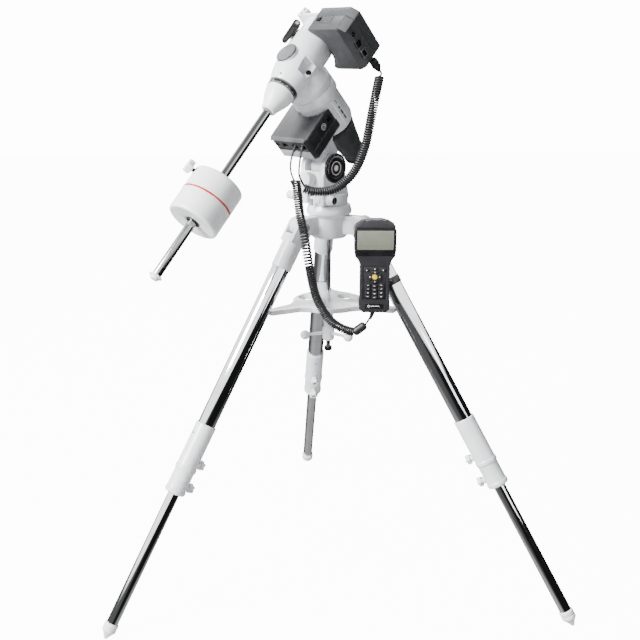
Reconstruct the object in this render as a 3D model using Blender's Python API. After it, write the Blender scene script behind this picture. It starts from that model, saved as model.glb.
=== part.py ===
"""German equatorial mount on a three-legged steel tripod.

Every length below is in millimetres and is scaled to metres as a mesh is made. +Z is up and
the tripod stands on Z = 0. The root empty carries the azimuth axis; the whole object is placed
so that the middle of its footprint is the origin.

Frames, each an empty on its joint's axis:
  tripod      azimuth axis on the floor
  leg_N       hinge of leg N: X along the hinge pin, Y outwards, Z up along the leg
  azimuth     X along the altitude pin, Y to the south side, Z up
  altitude    X along the altitude pin, Y and Z tilted so that Z is the polar axis direction
  head        at the crossing of the two axes: X as above, Y = declination axis, Z = polar axis
  polar       the same place, for what turns on the polar axis
  declination Z = declination axis, X as above
"""
import math

import bmesh
import bpy
from mathutils import Euler, Vector

MM = 0.001
GAP = 0.3

# Footprint: azimuth axis measured from the middle of the object's bounding box
AXIS_X, AXIS_Y = -32.8, -119.0

# Tripod
LEG_ANGLES = (216.0, 336.0, 96.0)
LEG_TILT = math.radians(31.2)
LEG_LENGTH = 1077.0
HINGE_RADIUS = 84.0
TIP_RADIUS = 3.0
HINGE_HEIGHT = LEG_LENGTH * math.cos(LEG_TILT) + TIP_RADIUS * math.sin(LEG_TILT)
HUB_BOTTOM, HUB_TOP = 890.0, 970.0
LUG_WIDTH = 30.0
LUG_RADIUS = 22.0
TUBE_RADIUS, TUBE_BORE = 21.5, 17.5
SLEEVE_END, SLEEVE_SEAT = -110.0, -43.7
COLLAR_TOP, COLLAR_STEP, COLLAR_END = -520.0, -581.0, -698.0
INNER_RADIUS, INNER_BORE = 14.0, 12.5
FOOT_TOP = -1036.0
INNER_TOP, INNER_END = -480.0, FOOT_TOP + GAP
KNOB_STATIONS = (-617.0, -677.0)
PLATE_TOP, PLATE_THICK, PLATE_RADIUS = 730.0, 12.0, 88.0
ROD_RADIUS, ROD_END = 5.5, 598.0

# Head
HEADING = math.radians(-42.6)
LATITUDE = math.radians(46.0)
PIVOT_NORTH, PIVOT_RISE = 23.0, 90.8
AXIS_RISE, AXES_ALONG = 97.0, 225.6
FORK_INNER, FORK_OUTER = 24.2, 38.0
PEG_RADIUS, PEG_AT, PEG_RISE = 4.5, 49.5, 19.0
BASE_RADIUS = 44.5
TANG_DROP = 23.8
AZIMUTH_TRAVEL, NORTH_TRAVEL, SOUTH_TRAVEL = 6.5, 3.8, 7.2
HOUSING_RADIUS, SLEEVE_RADIUS = 50.0, 30.0
FLANGE_RADIUS = 55.0
FLANGE_FACE = -62.0
DEC_RADIUS, DEC_TOP, DEC_END = 48.0, 75.0, -60.0
SHAFT_RADIUS, SHAFT_BORE = 19.7, 13.0
BEARING_RADIUS = 20.0
CAP_TOP = 50.5
CLAMP_ANGLE, CLAMP_RADIUS, CLAMP_HEIGHT = math.radians(-123.5), 58.0, 80.0
CONE_END = -128.0
BAR_RADIUS, BAR_END = 10.0, -583.0
WEIGHT_RADIUS, WEIGHT_TOP, WEIGHT_END = 59.0, -332.0, -443.0
DEC_BOX = (46.0, 147.0, -50.0, 70.0)
DEC_BOX_Y = (47.0, 88.0, 114.0)
RA_BOX = (-72.0, 45.0, -125.0, -18.0)
RA_BOX_Z = (-162.0, -138.0, -100.0)
WALL = 3.0

# Handset
HANDSET_AT = (106.0, -124.0, 845.0)


# ---------------------------------------------------------------- helpers
def clear_scene():
    for old in list(bpy.data.objects):
        bpy.data.objects.remove(old, do_unlink=True)


def material(name, color, roughness, metallic=0.0):
    mat = bpy.data.materials.new(name)
    mat.use_nodes = True
    shader = mat.node_tree.nodes["Principled BSDF"]
    shader.inputs["Base Color"].default_value = (*color, 1.0)
    shader.inputs["Roughness"].default_value = roughness
    shader.inputs["Metallic"].default_value = metallic
    mat.diffuse_color = (*color, 1.0)
    return mat


def frame(name, parent=None, at=(0, 0, 0), turn=(0, 0, 0)):
    empty = bpy.data.objects.new(name, None)
    bpy.context.scene.collection.objects.link(empty)
    empty.parent = parent
    empty.location = Vector(at) * MM
    empty.rotation_euler = turn
    return empty


def place(name, bm, parent, mat, at=(0, 0, 0), turn=(0, 0, 0)):
    """Make an object from a bmesh in millimetres."""
    bmesh.ops.recalc_face_normals(bm, faces=bm.faces)
    bmesh.ops.scale(bm, vec=(MM, MM, MM), verts=bm.verts)
    mesh = bpy.data.meshes.new(name)
    bm.to_mesh(mesh)
    bm.free()
    mesh.shade_smooth()
    mesh.set_sharp_from_angle(angle=math.radians(35))
    obj = bpy.data.objects.new(name, mesh)
    bpy.context.scene.collection.objects.link(obj)
    if mat:
        mesh.materials.append(mat)
    obj.parent = parent
    obj.location = Vector(at) * MM
    obj.rotation_euler = turn
    return obj


def add_ring(bm, radius, z, sides):
    if radius == 0:
        return [bm.verts.new((0, 0, z))]
    step = 2 * math.pi / sides
    return [bm.verts.new((radius * math.cos(i * step), radius * math.sin(i * step), z)) for i in range(sides)]


def bridge(bm, low, high):
    """Faces between two rings, either of which may be a single point."""
    count = max(len(low), len(high))
    for i in range(count):
        j = (i + 1) % count
        corners = [low[i % len(low)]]
        if len(low) > 1:
            corners.append(low[j])
        if len(high) > 1:
            corners.append(high[j])
        corners.append(high[i % len(high)])
        bm.faces.new(corners)


def turned(profile, sides=24, hollow=False):
    """A solid of revolution about Z. A solid profile starts and ends at radius 0 or is closed by
    flat ends; a hollow one comes back down its bore."""
    bm = bmesh.new()
    rings = [add_ring(bm, r, z, sides) for r, z in profile]
    for low, high in zip(rings, rings[1:]):
        bridge(bm, low, high)
    if hollow:
        bridge(bm, rings[-1], rings[0])
    else:
        for ring in (rings[0], rings[-1]):
            if len(ring) > 1:
                bm.faces.new(ring)
    return bm


def rod(radius, start, end, sides=24):
    return turned([(radius, start), (radius, end)], sides)


def prism(outline, low, high):
    """An outline in X and Y, extruded from Z = low to Z = high."""
    bm = bmesh.new()
    face = bm.faces.new([bm.verts.new((x, y, low)) for x, y in outline])
    grown = bmesh.ops.extrude_face_region(bm, geom=[face])
    bmesh.ops.translate(bm, vec=(0, 0, high - low), verts=[v for v in grown["geom"] if isinstance(v, bmesh.types.BMVert)])
    return bm


def block(x, y, z):
    return prism([(x[0], y[0]), (x[1], y[0]), (x[1], y[1]), (x[0], y[1])], z[0], z[1])


def arc(cx, cy, radius, start, end, steps):
    """Points from angle start to angle end, in degrees."""
    angles = [math.radians(start + (end - start) * i / steps) for i in range(steps + 1)]
    return [(cx + radius * math.cos(a), cy + radius * math.sin(a)) for a in angles]


def lobed(radius, depth, lobes, per_lobe=4):
    """Outline of a grip with rounded lobes."""
    count = lobes * per_lobe
    return [
        ((radius - depth + depth * math.cos(2 * math.pi * i / per_lobe)) * math.cos(2 * math.pi * i / count),
         (radius - depth + depth * math.cos(2 * math.pi * i / per_lobe)) * math.sin(2 * math.pi * i / count))
        for i in range(count)
    ]


def toothed(radius, depth, teeth):
    points = []
    for i in range(teeth):
        for share, r in ((0.0, radius - depth), (0.5, radius)):
            a = 2 * math.pi * (i + share) / teeth
            points.append((r * math.cos(a), r * math.sin(a)))
    return points


def combine(obj, operation, bm, at=(0, 0, 0), turn=(0, 0, 0)):
    """Add a Boolean with a hidden operand that shares the object's parent."""
    tool = place(f"{obj.name}_{operation.lower()}_{len(obj.modifiers)}", bm, obj.parent, None, at, turn)
    tool.hide_render = True
    tool.display_type = "WIRE"
    mod = obj.modifiers.new(operation.lower(), "BOOLEAN")
    mod.operation = operation
    mod.solver = "EXACT"
    mod.object = tool


def cut(obj, bm, at=(0, 0, 0), turn=(0, 0, 0)):
    combine(obj, "DIFFERENCE", bm, at, turn)


def join(obj, bm, at=(0, 0, 0), turn=(0, 0, 0)):
    combine(obj, "UNION", bm, at, turn)


ALONG_X = (0, math.pi / 2, 0)
ALONG_Y = (-math.pi / 2, 0, 0)
MINUS_Y = (math.pi / 2, 0, 0)
# Takes an outline drawn in X, Y with thickness along Z to Y, Z with thickness along X
UPRIGHT_X = (math.pi / 2, 0, math.pi / 2)
# Takes it to X, Z with thickness along -Y
UPRIGHT_Y = (math.pi / 2, 0, 0)


# ---------------------------------------------------------------- tripod
def make_hub(tripod, mats):
    profile = [(40, HUB_BOTTOM), (44, HUB_BOTTOM + 4), (44, 940), (54, 950), (54, 958), (50, HUB_TOP),
               (ROD_RADIUS + GAP, HUB_TOP), (ROD_RADIUS + GAP, HUB_BOTTOM)]
    hub = place("tripod_hub", turned(profile, 28, hollow=True), tripod, mats["casting"])
    for angle in LEG_ANGLES:
        lug = [(38, HINGE_HEIGHT - LUG_RADIUS), *arc(HINGE_RADIUS, HINGE_HEIGHT, LUG_RADIUS, -90, 90, 8),
               (38, HINGE_HEIGHT + LUG_RADIUS)]
        spin = math.radians(angle)
        side = Vector((math.sin(spin), -math.cos(spin), 0)) * LUG_WIDTH / 2
        join(hub, prism(lug, 0, LUG_WIDTH), at=-side, turn=(math.pi / 2, 0, spin))
    north = Vector((math.sin(HEADING), -math.cos(HEADING), 0)) * PEG_AT
    join(hub, rod(PEG_RADIUS, HUB_TOP - 4, HUB_TOP + PEG_RISE + 13, 12), at=(north.x, north.y, 0))
    profile = [(0, ROD_END), (9, ROD_END), (9, ROD_END + 12), (ROD_RADIUS, ROD_END + 12), (ROD_RADIUS, 945), (0, 945)]
    place("centre_rod", turned(profile, 16), tripod, mats["steel"])


def make_leg(tripod, number, angle, mats):
    spin = math.radians(angle)
    at = (HINGE_RADIUS * math.cos(spin), HINGE_RADIUS * math.sin(spin), HINGE_HEIGHT)
    leg = frame(f"leg_{number}", tripod, at, (LEG_TILT, 0, spin - math.pi / 2))

    cheek = [(-22, -46), (22, -46), *arc(0, 0, 22, 0, 180, 8)]
    head = place(f"leg_head_{number}", prism(cheek, -24, 24), leg, mats["casting"], turn=UPRIGHT_X)
    join(head, rod(24.3, SLEEVE_END, -32, 24))
    slot = LUG_WIDTH / 2 + GAP
    cut(head, block((-slot, slot), (-40, 40), (-26, 40)))
    cut(head, rod(TUBE_RADIUS + GAP, SLEEVE_END - 5, SLEEVE_SEAT, 24))

    tube = [(TUBE_RADIUS, COLLAR_STEP + GAP), (TUBE_RADIUS, SLEEVE_SEAT - GAP),
            (TUBE_BORE, SLEEVE_SEAT - GAP), (TUBE_BORE, COLLAR_STEP + GAP)]
    place(f"leg_tube_{number}", turned(tube, 24, hollow=True), leg, mats["chrome"])

    bore, seat = INNER_RADIUS + GAP, TUBE_RADIUS + GAP
    profile = [(bore, COLLAR_END), (23.6, COLLAR_END), (25.6, COLLAR_END + 3), (25.6, COLLAR_END + 10),
               (24.2, COLLAR_END + 12), (24.2, -640), (26.2, -638), (26.2, -630), (24.8, -628),
               (24.8, COLLAR_TOP - 2), (24.0, COLLAR_TOP), (seat, COLLAR_TOP), (seat, COLLAR_STEP), (bore, COLLAR_STEP)]
    collar = place(f"leg_collar_{number}", turned(profile, 20, hollow=True), leg, mats["casting"])
    for station in KNOB_STATIONS:
        join(collar, rod(8, 18, 28, 12), at=(0, 0, station), turn=MINUS_Y)
    for station in KNOB_STATIONS:
        cut(collar, rod(3.4, 8, 40, 8), at=(0, 0, station), turn=MINUS_Y)

    for letter, station in zip("ab", KNOB_STATIONS):
        knob = turned([(0, 15), (3, 15), (3, 28 + GAP), (6, 28 + GAP), (6, 34), (0, 34)], 12)
        knob = place(f"leg_knob_{number}{letter}", knob, leg, mats["white"], at=(0, 0, station), turn=MINUS_Y)
        join(knob, prism(lobed(12.5, 1.6, 5), 32, 43), at=(0, 0, station), turn=MINUS_Y)

    inner = [(INNER_RADIUS, INNER_END), (INNER_RADIUS, INNER_TOP), (INNER_BORE, INNER_TOP), (INNER_BORE, INNER_END)]
    place(f"leg_inner_{number}", turned(inner, 20, hollow=True), leg, mats["chrome"])

    foot = [(0, -LEG_LENGTH), (TIP_RADIUS, -LEG_LENGTH), (7.5, -LEG_LENGTH + 8), (9, -LEG_LENGTH + 11), (17, -1056),
            (17, FOOT_TOP), (0, FOOT_TOP)]
    place(f"foot_{number}", turned(foot, 20), leg, mats["white"])
    return leg


def make_spreader(tripod, mats):
    reach = HINGE_RADIUS + (HINGE_HEIGHT - PLATE_TOP) * math.tan(LEG_TILT) - (TUBE_RADIUS + GAP) / math.cos(LEG_TILT)
    outline = []
    for angle in sorted(LEG_ANGLES):
        spin = math.radians(angle)
        out, side = Vector((math.cos(spin), math.sin(spin))), Vector((-math.sin(spin), math.cos(spin)))
        outline += [tuple(out * r + side * s) for r, s in ((100, -22), (reach - 12, -13), (reach, -11), (reach, 11), (reach - 12, 13), (100, 22))]
        outline += arc(0, 0, PLATE_RADIUS, angle + 28, angle + 92, 8)
    plate = place("spreader_plate", prism(outline, PLATE_TOP - PLATE_THICK, PLATE_TOP), tripod, mats["casting"])
    join(plate, rod(20, 700, PLATE_TOP - 4, 20))
    for angle in LEG_ANGLES:
        spin = math.radians(angle + 60)
        cut(plate, rod(23, 690, 760, 20), at=(56 * math.cos(spin), 56 * math.sin(spin), 0))
    cut(plate, rod(ROD_RADIUS + GAP, 690, 760, 16))

    bore = ROD_RADIUS + GAP
    profile = [(bore, 626), (12, 626), (15, 630), (15, 656), (12, 660), (12, 700 - GAP), (bore, 700 - GAP)]
    handle = place("spreader_handle", turned(profile, 20, hollow=True), tripod, mats["white"])
    ball = [(0, 10), (4, 10), (4, 51), *[(x, y) for y, x in arc(62, 0, 12, 160, 0, 4)][:-1], (0, 74)]
    for angle in LEG_ANGLES:
        spin = math.radians(angle - 14)
        join(handle, turned(ball, 10), at=(0, 0, 645), turn=(0, math.pi / 2, spin))


# ---------------------------------------------------------------- head, fixed and adjustable
def make_fork(azimuth, mats):
    base = turned([(BASE_RADIUS, 0), (BASE_RADIUS, 26), (42, 28)], 28)
    fork = place("azimuth_fork", base, azimuth, mats["casting"])
    cheek = [(-56, 14), (28, 14), (28, 24), (14, 76), *arc(-PIVOT_NORTH, PIVOT_RISE, 36, -8, 188, 12), (-62, 76), (-62, 24)]
    for side in (-1, 1):
        low = FORK_INNER if side > 0 else -FORK_OUTER
        join(fork, prism(cheek, low, low + FORK_OUTER - FORK_INNER), turn=UPRIGHT_X)
    join(fork, block((-26, 26), (-62, -50), (10, 84)))
    join(fork, block((-26, 26), (8, 20), (10, 80)))
    join(fork, rod(17, 52, 64, 16), at=(0, 0, PIVOT_RISE - TANG_DROP), turn=MINUS_Y)
    for side in (-1, 1):
        join(fork, block(sorted((side * 14, side * (FORK_OUTER - 2))), (-59, -36), (5, PEG_RISE + 11)))
    cut(fork, rod(8.3, -50, 50, 16), at=(0, -PIVOT_NORTH, PIVOT_RISE), turn=ALONG_X)
    cut(fork, rod(5.3, -70, 30, 12), at=(0, 0, PIVOT_RISE - TANG_DROP), turn=ALONG_Y)
    cut(fork, rod(4.3, -40, 40, 12), at=(0, -PEG_AT, PEG_RISE), turn=ALONG_X)
    cut(fork, block((-14, 14), (-64, -BASE_RADIUS - 0.5), (-5, PEG_RISE + 14)))
    return fork


def make_adjusters(azimuth, mats):
    tip = PEG_RADIUS + GAP
    seat = FORK_OUTER + AZIMUTH_TRAVEL
    right = [(0, tip), (2, tip), (4, tip + 3), (4, seat), (7, seat), (10, 58), (10, 62), (0, 62)]
    place("azimuth_knob_right", turned(right, 16), azimuth, mats["white"], at=(0, -PEG_AT, PEG_RISE), turn=ALONG_X)
    left = [(0, -88), (9, -88), (10.5, -86), (10.5, -66), (6, -62), (6, -seat), (4, -seat), (4, -tip - 3), (2, -tip), (0, -tip)]
    place("azimuth_knob_left", turned(left, 16), azimuth, mats["white"], at=(0, -PEG_AT, PEG_RISE), turn=ALONG_X)
    height = PIVOT_RISE - TANG_DROP
    reach = PIVOT_NORTH - 10.4
    seat = -64 - NORTH_TRAVEL
    north = [(0, -86), (14.5, -86), (16, -84), (16, seat), (5, seat), (5, -PIVOT_NORTH - 15), (2, -PIVOT_NORTH - 10.4), (0, -PIVOT_NORTH - 10.4)]
    place("altitude_bolt_north", turned(north, 16), azimuth, mats["white"], at=(0, 0, height), turn=ALONG_Y)
    south = [(0, -reach), (2, -reach), (5, -reach + 4.6), (5, 20 + SOUTH_TRAVEL), (13, 20 + SOUTH_TRAVEL), (13, 42), (12, 44), (0, 44)]
    place("altitude_bolt_south", turned(south, 16), azimuth, mats["white"], at=(0, 0, height), turn=ALONG_Y)


def make_polar_housing(altitude, head, mats):
    profile = [(SLEEVE_RADIUS, -224), (SLEEVE_RADIUS, -183), (45, -183), (HOUSING_RADIUS, -172), (HOUSING_RADIUS, -91), (FLANGE_RADIUS, -87),
               (FLANGE_RADIUS, FLANGE_FACE - GAP), (40, FLANGE_FACE - GAP), (40, -150), (BEARING_RADIUS, -150), (BEARING_RADIUS, -224)]
    housing = place("polar_housing", turned(profile, 28, hollow=True), head, mats["casting"])
    lug = [(-40, -164), (-40, -181), (-47, -184), (-52, -217), *arc(-AXIS_RISE, -AXES_ALONG, 18, -60, -255, 10)]
    join(housing, prism(lug, -FORK_INNER + GAP, FORK_INNER - GAP), turn=UPRIGHT_X)
    tail = math.pi / 2 - LATITUDE
    join(housing, block((-20, 20), (-9, 9), (-36, 0)), at=(0, -AXIS_RISE, -AXES_ALONG), turn=(-tail, 0, 0))
    cut(housing, rod(8.3, -50, 50, 16), at=(0, -AXIS_RISE, -AXES_ALONG), turn=ALONG_X)

    dial = [(0, -FORK_OUTER), (8, -FORK_OUTER), (8, FORK_OUTER + GAP), (34.8, FORK_OUTER + GAP), (34.8, 42), (33.5, 43.5), (0, 43.5)]
    place("latitude_dial", turned(dial, 24), altitude, mats["black"], turn=ALONG_X)

    bell = [(SLEEVE_RADIUS + GAP, -183 - GAP), (SLEEVE_RADIUS + GAP, -224 - GAP), (12, -224 - GAP), (12, -285), (18, -300),
            (25, -300), (27, -296), (27, -284), (29, -262), (35, -230), (41, -200), (43, -183 - GAP)]
    place("polar_scope", turned(bell, 24, hollow=True), head, mats["charcoal"])


def box_shell(name, outline, inset, span, opening, parent, mat, turn, floor=WALL):
    """An open shell: outline extruded over span, hollowed from the end named by opening."""
    shell = place(name, prism(outline, *span), parent, mat, turn=turn)
    low, high = span
    depth = (low - 5, high - floor) if opening == "low" else (low + floor, high + 5)
    cut(shell, prism(inset, *depth), turn=turn)
    return shell


def make_ra_drive(head, polar, mats):
    x0, x1, y0, y1 = RA_BOX
    low, split, top = RA_BOX_Z
    relief = HOUSING_RADIUS + GAP
    start = math.degrees(math.atan2(y1, -math.sqrt(relief ** 2 - y1 ** 2))) + 360
    end = math.degrees(math.atan2(-math.sqrt(relief ** 2 - x1 ** 2), x1)) + 360
    outline = [(x0, y1), *arc(0, 0, relief, start, end, 12), (x1, y0 + 8), (x1 - 8, y0), (x0 + 8, y0), (x0, y0 + 8)]
    inset = [(x0 + WALL, y0 + 10), (x0 + 10, y0 + WALL), (x1 - 10, y0 + WALL), (x1 - WALL, y0 + 10), (x1 - WALL, -56), (x0 + WALL, -56)]
    case = box_shell("ra_motor_case", outline, inset, (split, top), "low", head, mats["charcoal"], (0, 0, 0))
    cut(case, block((x1 - 4.5, x1 + 5), (-44, -32), (-127, -117)))
    box_shell("ra_motor_cover", outline, inset, (low, split - GAP), "high", head, mats["grey"], (0, 0, 0))
    rocker = [(-4, -3.6), (-4, 1.2), (0, 0.6), (4, 2.4), (4, -3.2), (0, -4)]
    place("ra_power_switch", prism([(y, x) for x, y in [(p[0] * 1.1, p[1] * 0.9) for p in rocker]], -4.6, 4.6), head,
          mats["black"], at=(x1, -38, -122))

    shaft = [(SHAFT_RADIUS, -223.6), (SHAFT_RADIUS, FLANGE_FACE - GAP), (SHAFT_BORE, FLANGE_FACE - GAP), (SHAFT_BORE, -223.6)]
    place("ra_shaft", turned(shaft, 28, hollow=True), polar, mats["steel"])
    wheel = place("ra_worm_wheel", prism(toothed(37, 2.5, 18), -112, -100), polar, mats["brass"])
    cut(wheel, rod(BEARING_RADIUS, -120, -90, 28))


def make_dec_head(polar, mats):
    flange = turned([(FLANGE_RADIUS - 0.5, FLANGE_FACE), (FLANGE_RADIUS - 0.5, -44), (51, -30), (46, 0)], 28)
    housing = place("dec_housing", flange, polar, mats["casting"])
    barrel = [(36.5, DEC_END), (41, -45), (45.5, -28), (DEC_RADIUS, -10), (DEC_RADIUS, DEC_TOP)]
    join(housing, turned(barrel, 28), turn=ALONG_Y)
    join(housing, rod(25, 10, CAP_TOP, 24))
    cut(housing, rod(BEARING_RADIUS, -60, 90, 28), turn=ALONG_Y)
    cut(housing, rod(40, 38, 90, 28), turn=ALONG_Y)

    spin = (0, CLAMP_ANGLE, 0)
    boss = [(42, 52), (50, 52), (65, 68), (65, 88), (47, 88), (47, 74), (42, 74)]
    join(housing, prism(boss, -4 + GAP, 8), turn=spin)
    lever = [*arc(0, 0, 8, 180, 0, 6), (7.5, -46), (4, -52), (-4, -52), (-6.5, -46)]
    pivot = Vector((CLAMP_RADIUS * math.cos(CLAMP_ANGLE), CLAMP_HEIGHT, -CLAMP_RADIUS * math.sin(CLAMP_ANGLE)))
    place("dec_clamp_lever", prism(lever, -13, -4), polar, mats["black"], at=pivot, turn=spin)


def make_dec_drive(polar, declination, mats):
    x0, x1, z0, z1 = DEC_BOX
    low, split, top = DEC_BOX_Y
    outline = [(x0, z0), (x1 - 6, z0), (x1, z0 + 6), (x1, z1 - 4), (x1 - 17, z1 + 3), (x0, z1)]
    inset = [(x0 + 8, z0 + WALL), (x1 - 8, z0 + WALL), (x1 - WALL, z0 + 8), (x1 - WALL, z1 - 7), (x1 - 18, z1 - WALL), (x0 + 8, z1 - WALL)]
    # UPRIGHT_Y takes the extrusion's Z to -Y
    case = box_shell("dec_motor_case", outline, inset, (-split, -low), "low", polar, mats["charcoal"], UPRIGHT_Y, 23)
    cut(case, rod(DEC_RADIUS + GAP, 20, 130, 28), turn=ALONG_Y)
    cut(case, prism([(x1 + 5, low - 5), (x1 + 5, low + 19), (x1 - 21, low - 5)], z0 - 20, z1 + 20))
    cut(case, block((54, 66), (73, 83), (z1 - 4.5, z1 + 5)))
    cover = box_shell("dec_motor_cover", outline, inset, (-top, -split - GAP), "high", polar, mats["charcoal"], UPRIGHT_Y)
    cut(cover, rod(DEC_RADIUS + GAP, 20, 130, 28), turn=ALONG_Y)
    rocker = [(-4.4, -3.2), (-4.4, 1.1), (0, 0.6), (4.4, 2.2), (4.4, -2.8), (0, -3.6)]
    place("dec_power_switch", prism(rocker, -4.4, 4.4), polar, mats["black"], at=(60, 78, z1), turn=UPRIGHT_Y)

    shaft = [(SHAFT_RADIUS, DEC_END), (SHAFT_RADIUS, DEC_TOP), (9, DEC_TOP), (9, DEC_END)]
    place("dec_shaft", turned(shaft, 28, hollow=True), declination, mats["steel"])
    wheel = place("dec_worm_wheel", prism(toothed(37, 2.5, 18), 46, 58), declination, mats["brass"])
    cut(wheel, rod(BEARING_RADIUS, 40, 70, 28))

    neck = [(-38, DEC_TOP + GAP), (38, DEC_TOP + GAP)]
    plate = [(-47, DEC_BOX_Y[2] + GAP), (47, DEC_BOX_Y[2] + GAP), (42, 135), (22, 130), (27, 121), (-27, 121), (-21, 133), (-42, 142)]
    saddle = place("saddle", prism(plate, -50, 50), declination, mats["casting"], turn=UPRIGHT_Y)
    join(saddle, turned([(44, neck[0][1]), (44, 116)], 32))


def make_counterweight(declination, mats):
    cone = [(34, DEC_END - 14), (34, DEC_END - GAP), (0, DEC_END - GAP)]
    profile = [(0, -100), (8.3, -100), (8.3, CONE_END), (15.5, CONE_END), (17.5, CONE_END + 3), (19.5, CONE_END + 11),
               (27, CONE_END + 28), (32, CONE_END + 42), (33.6, DEC_END - 14.5), *cone]
    place("shaft_cone", turned(profile, 24), declination, mats["white"])
    bar = [(0, -565), (4.3, -565), (4.3, BAR_END), (BAR_RADIUS, BAR_END), (BAR_RADIUS, CONE_END - GAP), (8, CONE_END - GAP), (8, -100 - GAP), (0, -100 - GAP)]
    place("counterweight_bar", turned(bar, 24), declination, mats["chrome"])
    screw = [(0, BAR_END - 10), (8, BAR_END - 10), (10, BAR_END - 8), (10, BAR_END - 4), (15, BAR_END - 4), (15, BAR_END - GAP),
             (4, BAR_END - GAP), (4, -568), (0, -568)]
    place("bar_end_screw", turned(screw, 20), declination, mats["white"])
    bore = BAR_RADIUS + GAP
    weight = [(bore, WEIGHT_END + 6), (14, WEIGHT_END + 6), (14, WEIGHT_END + 2), (54, WEIGHT_END), (58, WEIGHT_END + 2),
              (WEIGHT_RADIUS, WEIGHT_END + 5), (WEIGHT_RADIUS, WEIGHT_TOP - 3), (57, WEIGHT_TOP), (bore, WEIGHT_TOP)]
    weight = place("counterweight", turned(weight, 24, hollow=True), declination, mats["white"])
    lean = math.atan2(-0.48, 0.88)
    height = WEIGHT_TOP - 14
    spin = (math.pi / 2, 0, lean)
    cut(weight, rod(4.3, 5, 70, 12), at=(0, 0, height), turn=spin)
    knob = turned([(0, 30), (4, 30), (4, WEIGHT_RADIUS + 6), (6, WEIGHT_RADIUS + 8), (0, WEIGHT_RADIUS + 8)], 12)
    knob = place("counterweight_knob", knob, declination, mats["white"], at=(0, 0, height), turn=spin)
    join(knob, prism(lobed(14.5, 2.2, 5), WEIGHT_RADIUS + 7, WEIGHT_RADIUS + 20), at=(0, 0, height), turn=spin)


# ---------------------------------------------------------------- handset and cords
def handset_outline(inset):
    half = [(26, -108), (35, -100), (36, -82), (34, -70), (34, 4), (38, 16), (46, 26), (48, 40), (48, 84), (43, 99), (28, 107)]
    right = [(x - inset, z - inset if z > 20 else z + inset if z < -90 else z) for x, z in half]
    return right + [(-x, z) for x, z in reversed(right)]


def make_handset(handset, leg, mats):
    front = place("handset_front", prism(handset_outline(0), 0, 17), handset, mats["handset"], turn=UPRIGHT_Y)
    cut(front, prism(handset_outline(3), -5, 14), turn=UPRIGHT_Y)
    cut(front, block((-28, 28), (-20, -10), (-76, 4)))
    back = place("handset_back", prism(handset_outline(0), -17, -GAP), handset, mats["handset"], turn=UPRIGHT_Y)
    cut(back, prism(handset_outline(3), -14, 5), turn=UPRIGHT_Y)
    place("handset_keys", block((-27.5, 27.5), (-18.5, -11), (-75.5, 3.5)), handset, mats["rubber"])


def make_holder(handset, leg, mats):
    """A clip round the leg tube with an arm that the handset's back is hooked on."""
    clip = turned([(TUBE_RADIUS - 1, -166), (25.5, -166), (25.5, -134), (TUBE_RADIUS - 1, -134)], 20, hollow=True)
    holder = place("handset_holder", clip, leg, mats["black"])
    spin = math.radians(LEG_ANGLES[1])
    hinge = Vector((HINGE_RADIUS * math.cos(spin), HINGE_RADIUS * math.sin(spin), HINGE_HEIGHT))
    level = Euler((LEG_TILT, 0, spin - math.pi / 2)).to_matrix().inverted()
    middle = Vector(HANDSET_AT) + Vector((26, 17 + GAP, -50)) - hinge
    join(holder, block((-13, 16), (0, 26), (-11, 11)), at=level @ middle, turn=level.to_euler())
    cut(holder, rod(TUBE_RADIUS + GAP, -200, -100, 24))
    return holder


def smooth_route(points, spacing):
    """Points at an even spacing along a smooth curve through the route's own points."""
    route = [Vector(p) for p in points]
    ends = [route[0] * 2 - route[1], *route, route[-1] * 2 - route[-2]]
    fine = []
    for a, b, c, d in zip(ends, ends[1:], ends[2:], ends[3:]):
        for i in range(24):
            t = i / 24
            fine.append(0.5 * ((2 * b) + (c - a) * t + (2 * a - 5 * b + 4 * c - d) * t * t + (3 * b - a - 3 * c + d) * t ** 3))
    fine.append(route[-1])
    lengths = [0.0]
    for p, q in zip(fine, fine[1:]):
        lengths.append(lengths[-1] + (q - p).length)
    count = max(3, round(lengths[-1] / spacing))
    picked, k = [], 0
    for i in range(count + 1):
        target = lengths[-1] * i / count
        while k < len(lengths) - 2 and lengths[k + 1] < target:
            k += 1
        share = (target - lengths[k]) / max(lengths[k + 1] - lengths[k], 1e-9)
        picked.append(fine[k].lerp(fine[k + 1], min(share, 1.0)))
    return picked


def cord(name, points, diameter, resolution, parent, mat):
    route = smooth_route(points, diameter * 2.4)
    curve = bpy.data.curves.new(name, "CURVE")
    curve.dimensions = "3D"
    curve.bevel_depth = diameter / 2 * MM
    curve.bevel_resolution = resolution
    curve.use_fill_caps = True
    spline = curve.splines.new("POLY")
    spline.points.add(len(route) - 1)
    for point, p in zip(spline.points, route):
        point.co = (*(p * MM), 1.0)
    curve.materials.append(mat)
    obj = bpy.data.objects.new(name, curve)
    bpy.context.scene.collection.objects.link(obj)
    obj.parent = parent
    return obj


WIRE, COIL = 4.0, 22.0
# Routes, measured from the azimuth axis on the floor
LEAD_1 = [(-79, -84, 1114), (-85, -92, 1099), (-89, -103, 1078), (-87, -114, 1060), (-80, -121, 1047.5)]
COIL_1 = [(-77, -121, 1043), (-73, -121, 1023), (-67, -122, 966), (-57, -121, 919), (-46, -120, 846), (-34, -121, 786),
          (-20, -123, 750), (4, -128, 715), (30, -129, 696), (51, -128, 688), (61, -127, 685)]
CABLE_1 = [(64, -127, 685), (76, -126, 690), (90, -125, 708), (98, -124, 722), (102, -124, 735)]
LEAD_2 = [(-62, -102, 1115.5), (-65, -108, 1102), (-68, -119, 1080), (-68, -130, 1056), (-64, -137, 1038)]
COIL_2 = [(-57, -139, 1027), (-26, -138, 1021), (2, -136, 1023), (26, -134, 1035), (55, -133, 1064), (77, -131, 1113),
          (86, -128, 1152), (94, -122, 1196), (101, -115, 1232), (106, -106, 1255), (109, -100, 1270)]


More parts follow.
